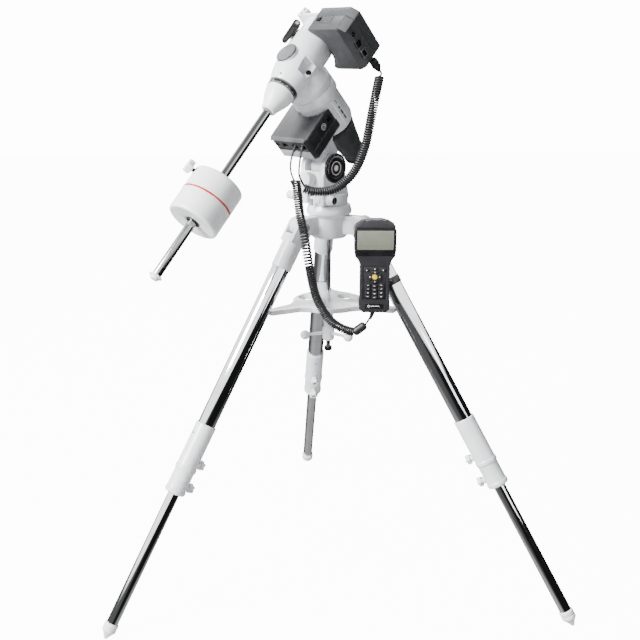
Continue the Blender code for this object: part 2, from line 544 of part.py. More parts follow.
def make_cords(tripod, mats):
    cord("lead_1", LEAD_1, WIRE, 2, tripod, mats["cord"])
    cord("coil_1", COIL_1, COIL, 2, tripod, mats["cord"])
    cord("cable_1", CABLE_1, WIRE, 2, tripod, mats["cord"])
    cord("lead_2", LEAD_2, WIRE, 2, tripod, mats["cord"])
    cord("coil_2", COIL_2, COIL, 2, tripod, mats["cord"])


def build():
    clear_scene()
    mats = {
        "casting": material("white_casting", (0.80, 0.81, 0.82), 0.38),
        "white": material("white_plastic", (0.86, 0.86, 0.86), 0.42),
        "chrome": material("chrome_tube", (0.78, 0.78, 0.80), 0.12, 1.0),
        "steel": material("machined_steel", (0.55, 0.55, 0.57), 0.30, 1.0),
        "brass": material("wheel_brass", (0.72, 0.55, 0.28), 0.30, 1.0),
        "charcoal": material("charcoal_plastic", (0.075, 0.08, 0.085), 0.45),
        "grey": material("grey_plastic", (0.30, 0.31, 0.32), 0.45),
        "black": material("black_plastic", (0.02, 0.02, 0.022), 0.40),
        "handset": material("handset_plastic", (0.05, 0.048, 0.055), 0.50),
        "rubber": material("key_rubber", (0.03, 0.03, 0.033), 0.65),
        "cord": material("cord_jacket", (0.02, 0.022, 0.022), 0.40),
    }
    tripod = frame("tripod", None, (AXIS_X, AXIS_Y, 0))
    make_hub(tripod, mats)
    legs = [make_leg(tripod, i + 1, angle, mats) for i, angle in enumerate(LEG_ANGLES)]
    make_spreader(tripod, mats)
    azimuth = frame("azimuth", tripod, (0, 0, HUB_TOP + GAP), (0, 0, HEADING))
    make_fork(azimuth, mats)
    make_adjusters(azimuth, mats)
    altitude = frame("altitude", azimuth, (0, -PIVOT_NORTH, PIVOT_RISE), (math.pi / 2 - LATITUDE, 0, 0))
    head = frame("head", altitude, (0, AXIS_RISE, AXES_ALONG))
    polar = frame("polar", altitude, (0, AXIS_RISE, AXES_ALONG))
    declination = frame("declination", polar, (0, 0, 0), (-math.pi / 2, 0, 0))
    make_polar_housing(altitude, head, mats)
    make_ra_drive(head, polar, mats)
    make_dec_head(polar, mats)
    make_dec_drive(polar, declination, mats)
    make_counterweight(declination, mats)
    handset = frame("handset", tripod, HANDSET_AT)
    make_handset(handset, legs[1], mats)
    make_holder(handset, legs[1], mats)
    make_cords(tripod, mats)


build()
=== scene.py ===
"""Looks of a German equatorial mount on a three-legged tripod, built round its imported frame.

Lengths in this file are millimetres, in the frame of the part they belong to; piece() places
them in the row frame and scales them to metres.
"""
import math

import bmesh
import bpy
from mathutils import Euler, Matrix, Vector


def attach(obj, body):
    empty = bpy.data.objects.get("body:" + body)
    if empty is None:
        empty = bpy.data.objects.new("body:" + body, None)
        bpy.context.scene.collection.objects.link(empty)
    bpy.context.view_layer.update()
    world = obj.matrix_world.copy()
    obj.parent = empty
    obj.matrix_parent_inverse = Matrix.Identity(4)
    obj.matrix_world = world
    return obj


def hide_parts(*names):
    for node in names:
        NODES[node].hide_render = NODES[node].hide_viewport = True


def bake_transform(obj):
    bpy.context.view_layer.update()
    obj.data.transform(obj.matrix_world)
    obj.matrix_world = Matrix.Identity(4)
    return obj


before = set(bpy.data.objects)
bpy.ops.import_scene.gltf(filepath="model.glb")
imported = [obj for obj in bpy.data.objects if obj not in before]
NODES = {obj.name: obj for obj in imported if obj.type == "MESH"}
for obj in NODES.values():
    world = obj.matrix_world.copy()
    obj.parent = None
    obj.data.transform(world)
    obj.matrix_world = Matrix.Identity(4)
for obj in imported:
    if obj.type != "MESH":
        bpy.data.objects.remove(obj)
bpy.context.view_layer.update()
MM = 0.001

AXIS = Vector((-32.8, -119.0, 0))
LEG_ANGLES = (216.0, 336.0, 96.0)
LEG_TILT = math.radians(31.2)
HINGE_RADIUS = 84.0
HINGE_HEIGHT = 1077.0 * math.cos(LEG_TILT) + 3.0 * math.sin(LEG_TILT)
KNOB_STATIONS = (-617.0, -677.0)
PLATE_TOP = 730.0
HEADING = math.radians(-42.6)
TAIL = math.radians(44.0)
PIVOT = (0, -23.0, 90.8)
CROSSING = (0, 97.0, 225.6)
PEG_BACK = 49.5
PEG_RISE = 19.0
WIRE = 4.6
COIL_RADIUS = 8.7
FLOOR_GLOW, GLOW_SHARE = 17.5, 0.72
BACKDROP = 14.0


def turn(x=0.0, y=0.0, z=0.0):
    return Euler((x, y, z)).to_matrix().to_4x4()


def shift(x=0.0, y=0.0, z=0.0):
    return Matrix.Translation((x, y, z))


QUARTER = math.pi / 2
ALONG_X = turn(0, QUARTER, 0)
ALONG_Y = turn(-QUARTER, 0, 0)
MINUS_Y = turn(QUARTER, 0, 0)
# Takes an outline in X and Y, with its thickness along Z, to Y and Z with thickness along X
UPRIGHT_X = turn(QUARTER, 0, QUARTER)
# Takes it to X and Z with thickness along -Y
UPRIGHT_Y = turn(QUARTER, 0, 0)

TRIPOD = Matrix.Translation(AXIS)
AZIMUTH = TRIPOD @ shift(0, 0, 970.3) @ turn(0, 0, HEADING)
ALTITUDE = AZIMUTH @ shift(*PIVOT) @ turn(TAIL)
HEAD = ALTITUDE @ shift(*CROSSING)
DECLINATION = HEAD @ turn(-QUARTER)
HANDSET_AT = Vector((106, -124, 845))
HANDSET = TRIPOD @ Matrix.Translation(HANDSET_AT)
LEGS = [
    TRIPOD @ shift(HINGE_RADIUS * math.cos(math.radians(a)), HINGE_RADIUS * math.sin(math.radians(a)), HINGE_HEIGHT)
    @ turn(LEG_TILT, 0, math.radians(a) - QUARTER)
    for a in LEG_ANGLES
]
# Each is a body and the frame that its pieces are drawn in
ON_TRIPOD = ("tripod", TRIPOD)
ON_POLAR = ("altitude_head", HEAD)
ON_BARREL = ("ra_head", HEAD)
ON_SHAFT = ("dec_head", DECLINATION)
ON_WEIGHT = ("counterweight", DECLINATION)
ON_HANDSET = ("leg_2", HANDSET)


def link(obj):
    bpy.context.scene.collection.objects.link(obj)
    return obj


# ---------------------------------------------------------------- camera
def make_camera():
    pitch, yaw, roll = (math.radians(a) for a in (15.8704, -4.7828, -0.8933))
    ahead = Vector((math.sin(yaw) * math.cos(pitch), math.cos(yaw) * math.cos(pitch), -math.sin(pitch)))
    right = Vector((math.cos(yaw), -math.sin(yaw), 0))
    up = right.cross(ahead)
    right, up = right * math.cos(roll) + up * math.sin(roll), up * math.cos(roll) - right * math.sin(roll)
    data = bpy.data.cameras.new("view")
    data.lens, data.sensor_width = 54.83, 36.0
    data.shift_x, data.shift_y = 0.109375, -0.015625
    camera = bpy.data.objects.new("view", data)
    link(camera)
    camera.matrix_world = Matrix.Translation((-0.0328, -2.459,
            1.369)) @ Matrix((right, up, -ahead)).transposed().to_4x4()
    bpy.context.scene.camera = camera


# ---------------------------------------------------------------- materials
def finish(name, dark, light, rough, metallic=0.0, grain=(900, 0.06), cloud=30, coat=0.0, streak=None, shine=0.5):
    """A Principled material: broad colour variation from dark to light, a roughness that
    wanders over its range, and a fine surface grain as bump."""
    mat = bpy.data.materials.new(name)
    mat.use_nodes = True
    tree = mat.node_tree
    shader = tree.nodes["Principled BSDF"]
    place = tree.nodes.new("ShaderNodeTexCoord")

    def noise(scale, detail, stretch=None):
        tex = tree.nodes.new("ShaderNodeTexNoise")
        tex.inputs["Scale"].default_value = scale
        tex.inputs["Detail"].default_value = detail
        source = place.outputs["Object"]
        if stretch:
            mapping = tree.nodes.new("ShaderNodeMapping")
            mapping.inputs["Scale"].default_value = stretch
            tree.links.new(source, mapping.inputs["Vector"])
            source = mapping.outputs["Vector"]
        tree.links.new(source, tex.inputs["Vector"])
        return tex.outputs["Fac"]

    ramp = tree.nodes.new("ShaderNodeValToRGB")
    ramp.color_ramp.elements[0].position, ramp.color_ramp.elements[1].position = 0.35, 0.65
    ramp.color_ramp.elements[0].color = (*dark, 1)
    ramp.color_ramp.elements[1].color = (*light, 1)
    tree.links.new(noise(cloud, 3.0), ramp.inputs["Fac"])
    tree.links.new(ramp.outputs["Color"], shader.inputs["Base Color"])
    wander = tree.nodes.new("ShaderNodeMapRange")
    wander.inputs["From Min"].default_value, wander.inputs["From Max"].default_value = 0.3, 0.7
    wander.inputs["To Min"].default_value, wander.inputs["To Max"].default_value = rough
    tree.links.new(noise(cloud * 5, 4.0, streak), wander.inputs["Value"])
    tree.links.new(wander.outputs["Result"], shader.inputs["Roughness"])
    bump = tree.nodes.new("ShaderNodeBump")
    bump.inputs["Strength"].default_value = grain[1]
    bump.inputs["Distance"].default_value = 0.0004
    tree.links.new(noise(grain[0], 2.0, streak), bump.inputs["Height"])
    tree.links.new(bump.outputs["Normal"], shader.inputs["Normal"])
    shader.inputs["Metallic"].default_value = metallic
    shader.inputs["Coat Weight"].default_value = coat
    shader.inputs["Coat Roughness"].default_value = 0.12
    shader.inputs["Specular IOR Level"].default_value = shine
    return mat


MATS = {
    "paint": finish("white_paint", (0.60, 0.62, 0.64), (0.66, 0.68, 0.70), (0.26, 0.36), grain=(700, 0.10), coat=0.25),
    "white": finish("white_plastic", (0.66, 0.675, 0.69), (0.72, 0.735, 0.75), (0.32, 0.42), grain=(1100, 0.08)),
    "foot": finish("foot_rubber", (0.66, 0.66, 0.66), (0.72, 0.72, 0.72), (0.45, 0.6), grain=(900, 0.2)),
    "chrome": finish("chrome_tube", (0.70, 0.71, 0.73), (0.80, 0.81, 0.83), (0.05, 0.10), 1.0, grain=(500, 0.015),
        streak=(3, 3, 0.3)),
    "steel": finish("machined_steel", (0.42, 0.42, 0.43), (0.52, 0.52, 0.53), (0.24, 0.36), 1.0, grain=(600, 0.1),
        streak=(1, 1, 12)),
    "silver": finish("anodised_silver", (0.22, 0.225, 0.23), (0.27, 0.275, 0.28), (0.34, 0.44), 0.4,
        grain=(1400, 0.12)),
    "brass": finish("wheel_brass", (0.62, 0.46, 0.20), (0.72, 0.55, 0.28), (0.26, 0.36), 1.0, grain=(900, 0.1)),
    "case": finish("moulded_grey", (0.027, 0.029, 0.031), (0.035, 0.037, 0.039), (0.42, 0.52), grain=(1500, 0.25),
        shine=0.35),
    "case_dark": finish("moulded_dark", (0.0105, 0.011, 0.012), (0.015, 0.0155, 0.0165), (0.40, 0.5),
        grain=(1500, 0.25), shine=0.3),
    # Pale moulded grey: the real lighter port frame and emblem, and also painted highlight strips laid over lit
    # chamfers
    "light_trim_and_painted_highlight": finish("moulded_light_and_painted_highlight", (0.060, 0.063, 0.066), (0.075, 0.078, 0.081), (0.42, 0.52),
        grain=(1500, 0.25), shine=0.4),
    "pale": finish("moulded_pale", (0.27, 0.28, 0.29), (0.32, 0.33, 0.34), (0.42, 0.52), grain=(1500, 0.2)),
    "cap": finish("cap_grey", (0.075, 0.078, 0.082), (0.090, 0.094, 0.098), (0.36, 0.46), grain=(1400, 0.12)),
    "bar": finish("bar_steel", (0.26, 0.265, 0.27), (0.32, 0.325, 0.33), (0.12, 0.18), 1.0, grain=(500, 0.03),
        streak=(3, 3, 0.3)),
    # Black plastic parts; it also paints the shade strip on the RA case's corner chamfer
    "black": finish("black_plastic", (0.005, 0.005, 0.0055), (0.009, 0.009, 0.0095), (0.30, 0.42), grain=(1200, 0.15)),
    # Near-black: painted shade in the sockets and the notch hole, and the real black of the rocker switches
    "hole": finish("painted_recess_shade_and_rocker_black", (0.003, 0.003, 0.003), (0.005, 0.005, 0.005), (0.6, 0.75), grain=(1200, 0.1),
        shine=0.1),
    "cord": finish("cord_jacket", (0.008, 0.0085, 0.0092), (0.013, 0.0135, 0.0142), (0.36, 0.44), grain=(1500, 0.12),
        shine=0.4),
    "shell": finish("handset_plastic", (0.0135, 0.0128, 0.0155), (0.0175, 0.0165, 0.0195), (0.42, 0.54),
        grain=(1800, 0.3), shine=0.35),
    "key": finish("key_rubber", (0.008, 0.0075, 0.009), (0.012, 0.0115, 0.0135), (0.5, 0.62), grain=(1600, 0.2),
        shine=0.35),
    "glass": finish("screen_glass", (0.125, 0.132, 0.105), (0.140, 0.147, 0.118), (0.12, 0.2), grain=(300, 0.01),
        coat=0.5),
    "bezel": finish("screen_bezel", (0.006, 0.006, 0.007), (0.010, 0.010, 0.011), (0.10, 0.18), grain=(300, 0.01),
        coat=0.4),
    "yellow": finish("key_yellow", (0.62, 0.40, 0.008), (0.70, 0.47, 0.014), (0.35, 0.45), grain=(1500, 0.1)),
    "legend": finish("printed_legend", (0.62, 0.62, 0.64), (0.72, 0.72, 0.74), (0.5, 0.6), grain=(1500, 0.05)),
    "ring_red": finish("ring_red", (0.34, 0.005, 0.007), (0.42, 0.009, 0.010), (0.3, 0.4), grain=(900, 0.1)),
    "lens": finish("lens_glass", (0.012, 0.014, 0.025), (0.02, 0.022, 0.035), (0.03, 0.06), grain=(200, 0.005),
        coat=1.0),
}


# ---------------------------------------------------------------- meshes
def soften(points, radius, closed=True, steps=3):
    """The same outline with its corners rounded."""
    out = []
    for i, p in enumerate(points):
        b = Vector(p)
        if not closed and i in (0, len(points) - 1):
            out.append(b)
            continue
        u, v = Vector(points[i - 1]) - b, Vector(points[(i + 1) % len(points)]) - b
        if u.length < 1e-6 or v.length < 1e-6:
            continue
        angle = u.angle(v)
        if angle > math.radians(168):
            out.append(b)
            continue
        reach = min(radius / math.tan(angle / 2), 0.45 * u.length, 0.45 * v.length)
        a, c = b + u.normalized() * reach, b + v.normalized() * reach
        for k in range(steps + 1):
            t = k / steps
            out.append(a * (1 - t) ** 2 + b * (2 * t * (1 - t)) + c * t * t)
    return [tuple(p) for p in out]


def ring(bm, radius, z, sides):
    if radius < 1e-6:
        return [bm.verts.new((0, 0, z))]
    step = 2 * math.pi / sides
    return [bm.verts.new((radius * math.cos(i * step), radius * math.sin(i * step), z)) for i in range(sides)]


def lathe(profile, sides=64, hollow=False, edge=0.8):
    """A solid of revolution about Z, its profile's corners rounded by edge."""
    if edge:
        profile = soften(profile, edge, closed=hollow, steps=2)
    bm = bmesh.new()
    rings = [ring(bm, r, z, sides) for r, z in profile]
    pairs = list(zip(rings, rings[1:])) + ([(rings[-1], rings[0])] if hollow else [])
    for low, high in pairs:
        count = max(len(low), len(high))
        if count == 1:
            continue
        for i in range(count):
            j = (i + 1) % count
            corners = [low[i % len(low)]]
            if len(low) > 1:
                corners.append(low[j])
            if len(high) > 1:
                corners.append(high[j])
            corners.append(high[i % len(high)])
            bm.faces.new(corners)
    if not hollow:
        for end in (rings[0], rings[-1]):
            if len(end) > 1:
                bm.faces.new(end)
    bmesh.ops.recalc_face_normals(bm, faces=bm.faces)
    return bm


def rod(radius, low, high, sides=48, edge=0.6):
    return lathe([(0, low), (radius, low), (radius, high), (0, high)], sides, edge=edge)


def band(inner, outer, low, high, sides=48, edge=0.1):
    """A plain ring about Z."""
    return lathe([(inner, low), (outer, low), (outer, high), (inner, high)], sides, True, edge)


def slab(outline, low, high, edge=1.2, corner=0.0, segments=2):
    """An outline in X and Y extruded along Z, its rims rounded by edge and its corners by corner."""
    if corner:
        outline = soften(outline, corner)
    bm = bmesh.new()
    face = bm.faces.new([bm.verts.new((p[0], p[1], low)) for p in outline])
    grown = bmesh.ops.extrude_face_region(bm, geom=[face])
    bmesh.ops.translate(bm, vec=(0, 0, high - low),
            verts=[v for v in grown["geom"] if isinstance(v, bmesh.types.BMVert)])
    if edge:
        rims = [e for e in bm.edges if abs(e.verts[0].co.z - e.verts[1].co.z) < 1e-6]
        bmesh.ops.bevel(bm, geom=rims, offset=edge, segments=segments, profile=0.5, affect="EDGES", clamp_overlap=True)
    bmesh.ops.recalc_face_normals(bm, faces=bm.faces)
    return bm


def box(x, y, z, edge=0.8, corner=0.8):
    return slab([(x[0], y[0]), (x[1], y[0]), (x[1], y[1]), (x[0], y[1])], z[0], z[1], edge, corner)


def arc(cx, cy, radius, start, end, steps):
    angles = [math.radians(start + (end - start) * i / steps) for i in range(steps + 1)]
    return [(cx + radius * math.cos(a), cy + radius * math.sin(a)) for a in angles]


def circle(radius, sides=40, cx=0.0, cy=0.0):
    return arc(cx, cy, radius, 0, 360, sides)[:-1]


def lobed(radius, depth, lobes, per_lobe=16):
    count = lobes * per_lobe
    points = []
    for i in range(count):
        r = radius - depth + depth * math.cos(2 * math.pi * i / per_lobe)
        a = 2 * math.pi * i / count
        points.append((r * math.cos(a), r * math.sin(a)))
    return points


def moved(bm, matrix):
    bm.transform(matrix)
    return bm


def boolean(base, other, operation):
    objects = []
    for bm in (base, other):
        mesh = bpy.data.meshes.new("operand")
        bm.to_mesh(mesh)
        bm.free()
        obj = bpy.data.objects.new("operand", mesh)
        link(obj)
        objects.append(obj)
    mod = objects[0].modifiers.new("boolean", "BOOLEAN")
    mod.operation, mod.solver, mod.object = operation, "EXACT", objects[1]
    out = bmesh.new()
    out.from_object(objects[0], bpy.context.evaluated_depsgraph_get())
    for obj in objects:
        mesh = obj.data
        bpy.data.objects.remove(obj)
        bpy.data.meshes.remove(mesh)
    return out


def fuse(base, *others):
    for other in others:
        base = boolean(base, other, "UNION")
    return base


def carve(base, *others):
    for other in others:
        base = boolean(base, other, "DIFFERENCE")
    return base


def together(*parts):
    """Several separate solids as one mesh."""
    out = bmesh.new()
    for bm in parts:
        mesh = bpy.data.meshes.new("part")
        bm.to_mesh(mesh)
        bm.free()
        out.from_mesh(mesh)
        bpy.data.meshes.remove(mesh)
    return out


def piece(name, bm, mat, body, where, instead=(), sharp=32, ride=True):
    bm.transform(Matrix.Scale(MM, 4) @ where)
    bmesh.ops.recalc_face_normals(bm, faces=bm.faces)
    mesh = bpy.data.meshes.new(name)
    bm.to_mesh(mesh)
    bm.free()
    mesh.materials.append(MATS[mat])
    mesh.shade_smooth()
    mesh.set_sharp_from_angle(angle=math.radians(sharp))
    obj = bpy.data.objects.new(name, mesh)
    link(obj)
    if ride:
        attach(obj, body)
    if instead:
        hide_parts(*([instead] if isinstance(instead, str) else instead))
    return obj


# ---------------------------------------------------------------- cords
def smooth_route(points, spacing):
    """Points at an even spacing along a smooth curve through the route's own points."""
    route = [Vector(p) for p in points]
    ends = [route[0] * 2 - route[1], *route, route[-1] * 2 - route[-2]]
    fine = []
    for a, b, c, d in zip(ends, ends[1:], ends[2:], ends[3:]):
        for i in range(24):
            t = i / 24
            square, cube = 2 * a - 5 * b + 4 * c - d, 3 * b - a - 3 * c + d
            fine.append(0.5 * ((2 * b) + (c - a) * t + square * t * t + cube * t ** 3))
    fine.append(route[-1])
    lengths = [0.0]
    for p, q in zip(fine, fine[1:]):
        lengths.append(lengths[-1] + (q - p).length)
    count = max(3, round(lengths[-1] / spacing))
    picked, k = [], 0
    for i in range(count + 1):
        target = lengths[-1] * i / count
        while k < len(lengths) - 2 and lengths[k + 1] < target:
            k += 1
        share = (target - lengths[k]) / max(lengths[k + 1] - lengths[k], 1e-9)
        picked.append(fine[k].lerp(fine[k + 1], min(share, 1.0)))
    return picked


def follow(points):
    """A pair of normals at each point that don't twist along the line."""
    tangents = []
    for i in range(len(points)):
        tangents.append((points[min(i + 1, len(points) - 1)] - points[max(i - 1, 0)]).normalized())
    side = tangents[0].orthogonal().normalized()
    frames = []
    for t in tangents:
        side = (side - t * side.dot(t)).normalized()
        frames.append((side, t.cross(side)))
    return frames


def coiled(route, pitch, per_turn=16):
    """A helix about the route."""
    axis = smooth_route(route, 0.5)
    frames = follow(axis)
    step = (axis[1] - axis[0]).length
    phases = [0.0]
    for i in range(1, len(axis)):
        phases.append(phases[-1] + 2 * math.pi * step / pitch(i / len(axis)))
    total = phases[-1]
    out, k = [], 0
    count = round(total / (2 * math.pi) * per_turn)
    for i in range(count + 1):
        target = total * i / count
        while k < len(phases) - 2 and phases[k + 1] < target:
            k += 1
        share = min((target - phases[k]) / max(phases[k + 1] - phases[k], 1e-9), 1.0)
        middle = axis[k].lerp(axis[k + 1], share)
        side, up = frames[k]
        out.append(middle + (side * math.cos(target) + up * math.sin(target)) * COIL_RADIUS)
    return out


def tube(points, radius, sides=10):
    bm = bmesh.new()
    frames = follow(points)
    rings = []
    for p, (side, up) in zip(points, frames):
        rings.append([bm.verts.new(p + (side * math.cos(a) + up * math.sin(a)) * radius)
                for a in (2 * math.pi * i / sides for i in range(sides))])
    for low, high in zip(rings, rings[1:]):
        for i in range(sides):
            j = (i + 1) % sides
            bm.faces.new((low[i], low[j], high[j], high[i]))
    bm.faces.new(rings[0])
    bm.faces.new(rings[-1])
    return bm


def aimed(at, towards):
    """A frame at a point with its Z axis towards another."""
    direction = (Vector(towards) - Vector(at)).normalized()
    return Matrix.Translation(at) @ direction.to_track_quat("Z", "Y").to_matrix().to_4x4()


def cord(name, points, nodes):
    obj = piece(name, tube(points, WIRE / 2), "cord", None, TRIPOD, nodes, sharp=60, ride=False)
    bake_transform(obj)
    return obj


def ribbed(length, radius, ribs):
    """A tapered strain relief with ribs, along Z from 0."""
    profile = [(0, 0)]
    for i in range(ribs):
        z, r = length * i / ribs, radius - (radius - WIRE / 2 - 0.6) * i / ribs
        profile += [(r, z), (r, z + length / ribs * 0.62), (r - 0.8, z + length / ribs * 0.7),
                (r - 0.8, z + length / ribs)]
    return lathe([*profile, (0, length)], 24, edge=0.25)


def make_cords():
    lead_1 = [(-79, -84, 1114), (-85, -92, 1099), (-89, -103, 1078), (-87, -114, 1060), (-80, -121, 1047.5)]
    coil_1 = [(-77, -121, 1043), (-73, -121, 1023), (-67, -122, 966), (-57, -121, 919), (-46, -120, 846),
            (-34, -121, 786), (-20, -123, 750), (4, -128, 715), (30, -129, 696), (51, -128, 688), (61, -127, 685)]
    cable_1 = [(64, -127, 685), (76, -126, 690), (90, -125, 708), (98, -124, 722), (102, -124, 735)]
    lead_2 = [(-62, -102, 1115.5), (-65, -108, 1102), (-68, -119, 1080), (-68, -130, 1056), (-64, -137, 1038)]
    coil_2 = [(-57, -139, 1029), (-44, -139, 1023), (-26, -138, 1021), (2, -136, 1023), (26, -134, 1035),
            (55, -133, 1064), (77, -131, 1113), (86, -128, 1152), (94, -122, 1196), (101, -115, 1232),
            (106, -106, 1255), (109, -100, 1270)]
    loop_2 = [(114, -86, 1276), (108.3, -93.5, 1286)]

    down = coiled(coil_1, lambda s: 5.3 if s < 0.3 else 7.4 if s < 0.5 else 4.9)
    way = (down[1] - down[0]).normalized()
    ferrule = piece("lead_ferrule", lathe([(0, -5), (2.9, -5), (4.2, 0), (4.2, 4), (3, 7), (0, 7)], 24, edge=0.4),
            "cord", "azimuth_head", TRIPOD @ aimed(down[0], down[1]))
    lead = smooth_route([*lead_1[:-1], down[0] - way * 7, down[0]], 3.0)
    cord("lead_to_coil", lead, "lead_1")

    sleeve = lathe([(0, -3), (6.5, -3), (10.4, 1), (10.6, 8), (10.6, 22), (10.2, 28), (6.5, 31), (0, 31)], 40, edge=1.0)
    sleeve = fuse(sleeve, rod(11.2, 9, 11, 40, 0.4))
    sleeve = piece("coil_sleeve", sleeve, "cord", "tripod", TRIPOD @ aimed((62, -127, 685), (84, -126, 702)))
    cord("handset_coil", down, "coil_1")

    boot = piece("handset_boot", moved(ribbed(22, 6, 4), aimed((104.5, -124, 738), (99, -124, 720))), "cord", "leg_2",
            TRIPOD)
    cord("handset_cable", smooth_route(cable_1, 2.6), "cable_1")

    plug_at = HEAD @ shift(143, 78, -50) @ turn(math.pi)
    body = moved(slab(circle(9.6, 32), 1, 25, 0.8), Matrix.Diagonal((1, 0.8, 1, 1)))
    ribs = [moved(slab(circle(10.4, 32), z, z + 2.4, 0.5), Matrix.Diagonal((1, 0.84, 1,
            1))) for z in (5, 9.5, 14, 18.5)]
    plug = piece("head_plug", together(body, *ribs, moved(ribbed(11, 6.4, 2), shift(0, 0, 24.6))), "cord", "ra_head",
            plug_at)
    up = coiled(coil_2, lambda s: 5.2)
    start, end = (up[1] - up[0]).normalized(), (up[-1] - up[-2]).normalized()
    both = (smooth_route([*lead_2[:-1], up[0] - start * 8, up[0]], 3.0)[:-1] + up[:-1]
            + smooth_route([up[-1], up[-1] + end * 8, *loop_2], 2.6))
    cord("head_coil", both, ("lead_2", "coil_2"))
    for number, (at, towards) in enumerate((lead_1[:2], lead_2[:2])):
        end = Vector(at) + (Vector(at) - Vector(towards)).normalized() * 5
        piece(f"port_plug_{number + 1}", moved(ribbed(16, 4.6, 3), aimed(end, towards)), "cord", "altitude_head",
              TRIPOD)


# ---------------------------------------------------------------- tripod
def make_hub():
    hub = lathe([(40, 890), (44, 894), (44, 940), (54, 950), (54, 958), (50, 970), (5.8, 970), (5.8, 890)], 96, True,
            1.6)
    for angle in LEG_ANGLES:
        spin = math.radians(angle)
        lug = [(36, HINGE_HEIGHT - 22), *arc(HINGE_RADIUS, HINGE_HEIGHT, 22, -90, 90, 20), (36, HINGE_HEIGHT + 22)]
        side = Vector((math.sin(spin), -math.cos(spin), 0)) * 15
        hub = fuse(hub, moved(slab(lug, 0, 30, 1.6), Matrix.Translation(-side) @ turn(QUARTER, 0, spin)))
    piece("hub_casting", hub, "paint", *ON_TRIPOD, "tripod_hub")
    north = Vector((math.sin(HEADING), -math.cos(HEADING), 0)) * PEG_BACK
    piece("azimuth_peg", rod(4.5, 966, 1002, 32, 1.0), "paint", "tripod", TRIPOD @ Matrix.Translation(north))

    stem = lathe([(0, 600), (5.2, 600), (5.2, 945), (0, 945)], 40, edge=0.5)
    piece("centre_rod_bar", stem, "chrome", *ON_TRIPOD, "centre_rod")
    threads = []
    for i in range(22):
        threads.append(lathe([(4.9, 612 + i * 2), (5.5, 613 + i * 2), (4.9, 614 + i * 2)], 32, edge=0))
    nut = slab(circle(9.6, 6), 599, 610, 0.8)
    piece("centre_rod_nut", together(nut, rod(4.2, 598, 600, 24)), "black", *ON_TRIPOD)


def make_leg(number, leg):
    body, lower = f"leg_{number}", f"lower_leg_{number}"
    cheek = [(-22, -46), (22, -46), *arc(0, 0, 22, 0, 180, 24)]
    head = moved(slab(cheek, -24, 24, 2.0), UPRIGHT_X)
    shank = lathe([(0, -110), (24.3, -110), (24.3, -36), (22, -30), (0, -30)], 64, edge=1.4)
    head = fuse(head, shank)
    head = carve(head, box((-15.3, 15.3), (-40, 40), (-26, 40), 0, 0), rod(21.8, -116, -43.7, 64, 0))
    piece(f"leg_top_{number}", head, "paint", body, leg, f"leg_head_{number}")
    bolts = []
    for side in (-1, 1):
        bolts.append(moved(slab(circle(8, 6), 0, 3.4, 0.7), shift(side * 24, 0, 0) @ turn(0, side * QUARTER, 0)))
        bolts.append(moved(rod(10, 0, 1, 32, 0.3), shift(side * 23.6, 0, 0) @ turn(0, side * QUARTER, 0)))
    piece(f"hinge_bolt_{number}", together(*bolts), "silver", body, leg)

    tube_profile = [(21.5, -580.7), (21.5, -44), (17.5, -44), (17.5, -580.7)]
    piece(f"leg_upper_{number}", lathe(tube_profile, 72, True, 0.4), "chrome", body, leg, f"leg_tube_{number}")
    collar = [(14.3, -698), (23.4, -698), (25.6, -695), (25.6, -688), (24.0, -686), (24.0, -640), (26.2, -638),
            (26.2, -630),
            (24.8, -628), (24.8, -522), (24.0, -520), (21.8, -520), (21.8, -581), (14.3, -581)]
    collar = lathe(collar, 72, True, 0.8)
    for station in KNOB_STATIONS:
        boss = lathe([(0, 18), (9.5, 18), (8, 28), (0, 28)], 40, edge=0.8)
        collar = fuse(collar, moved(boss, shift(0, 0, station) @ MINUS_Y))
    for station in KNOB_STATIONS:
        collar = carve(collar, moved(rod(3.4, 8, 40, 24, 0), shift(0, 0, station) @ MINUS_Y))
    piece(f"leg_sleeve_{number}", collar, "paint", body, leg, f"leg_collar_{number}")
    pins = [moved(rod(3, 24.0, 25.4, 24, 0.5), shift(0, 0, z) @ turn(0, 0, a) @ ALONG_Y) for z,
            a in ((-548, 0.0), (-548, math.pi))]
    piece(f"sleeve_pins_{number}", together(*pins), "steel", body, leg)

    for letter, station in zip("ab", KNOB_STATIONS):
        grip = slab(lobed(12.5, 1.6, 5), 32, 43, 2.2, segments=3)
        grip = fuse(grip, rod(6, 28.3, 33, 32, 0.5), rod(3, 15, 30, 24, 0.4))
        grip = carve(grip, rod(4.6, 42, 46, 32, 0))
        where = leg @ shift(0, 0, station) @ MINUS_Y
        piece(f"clamp_knob_{number}{letter}", grip, "white", f"leg_knob_{number}{letter}", where,
              f"leg_knob_{number}{letter}")
        piece(f"knob_cap_{number}{letter}", rod(4.3, 41.9, 42.6, 32, 0.3), "silver", f"leg_knob_{number}{letter}",
              where)

    inner = [(14, -1035.7), (14, -480), (12.5, -480), (12.5, -1035.7)]
    piece(f"leg_lower_{number}", lathe(inner, 64, True, 0.3), "chrome", lower, leg, f"leg_inner_{number}")
    foot = [(0, -1077), (3, -1077), (7.5, -1069), (9, -1066), (17, -1056), (17, -1050), (16.2, -1049), (16.2, -1047),
            (17, -1046), (17, -1038), (14.6, -1036), (0, -1036)]
    piece(f"leg_foot_{number}", lathe(foot, 56, edge=0.7), "foot", lower, leg, f"foot_{number}")


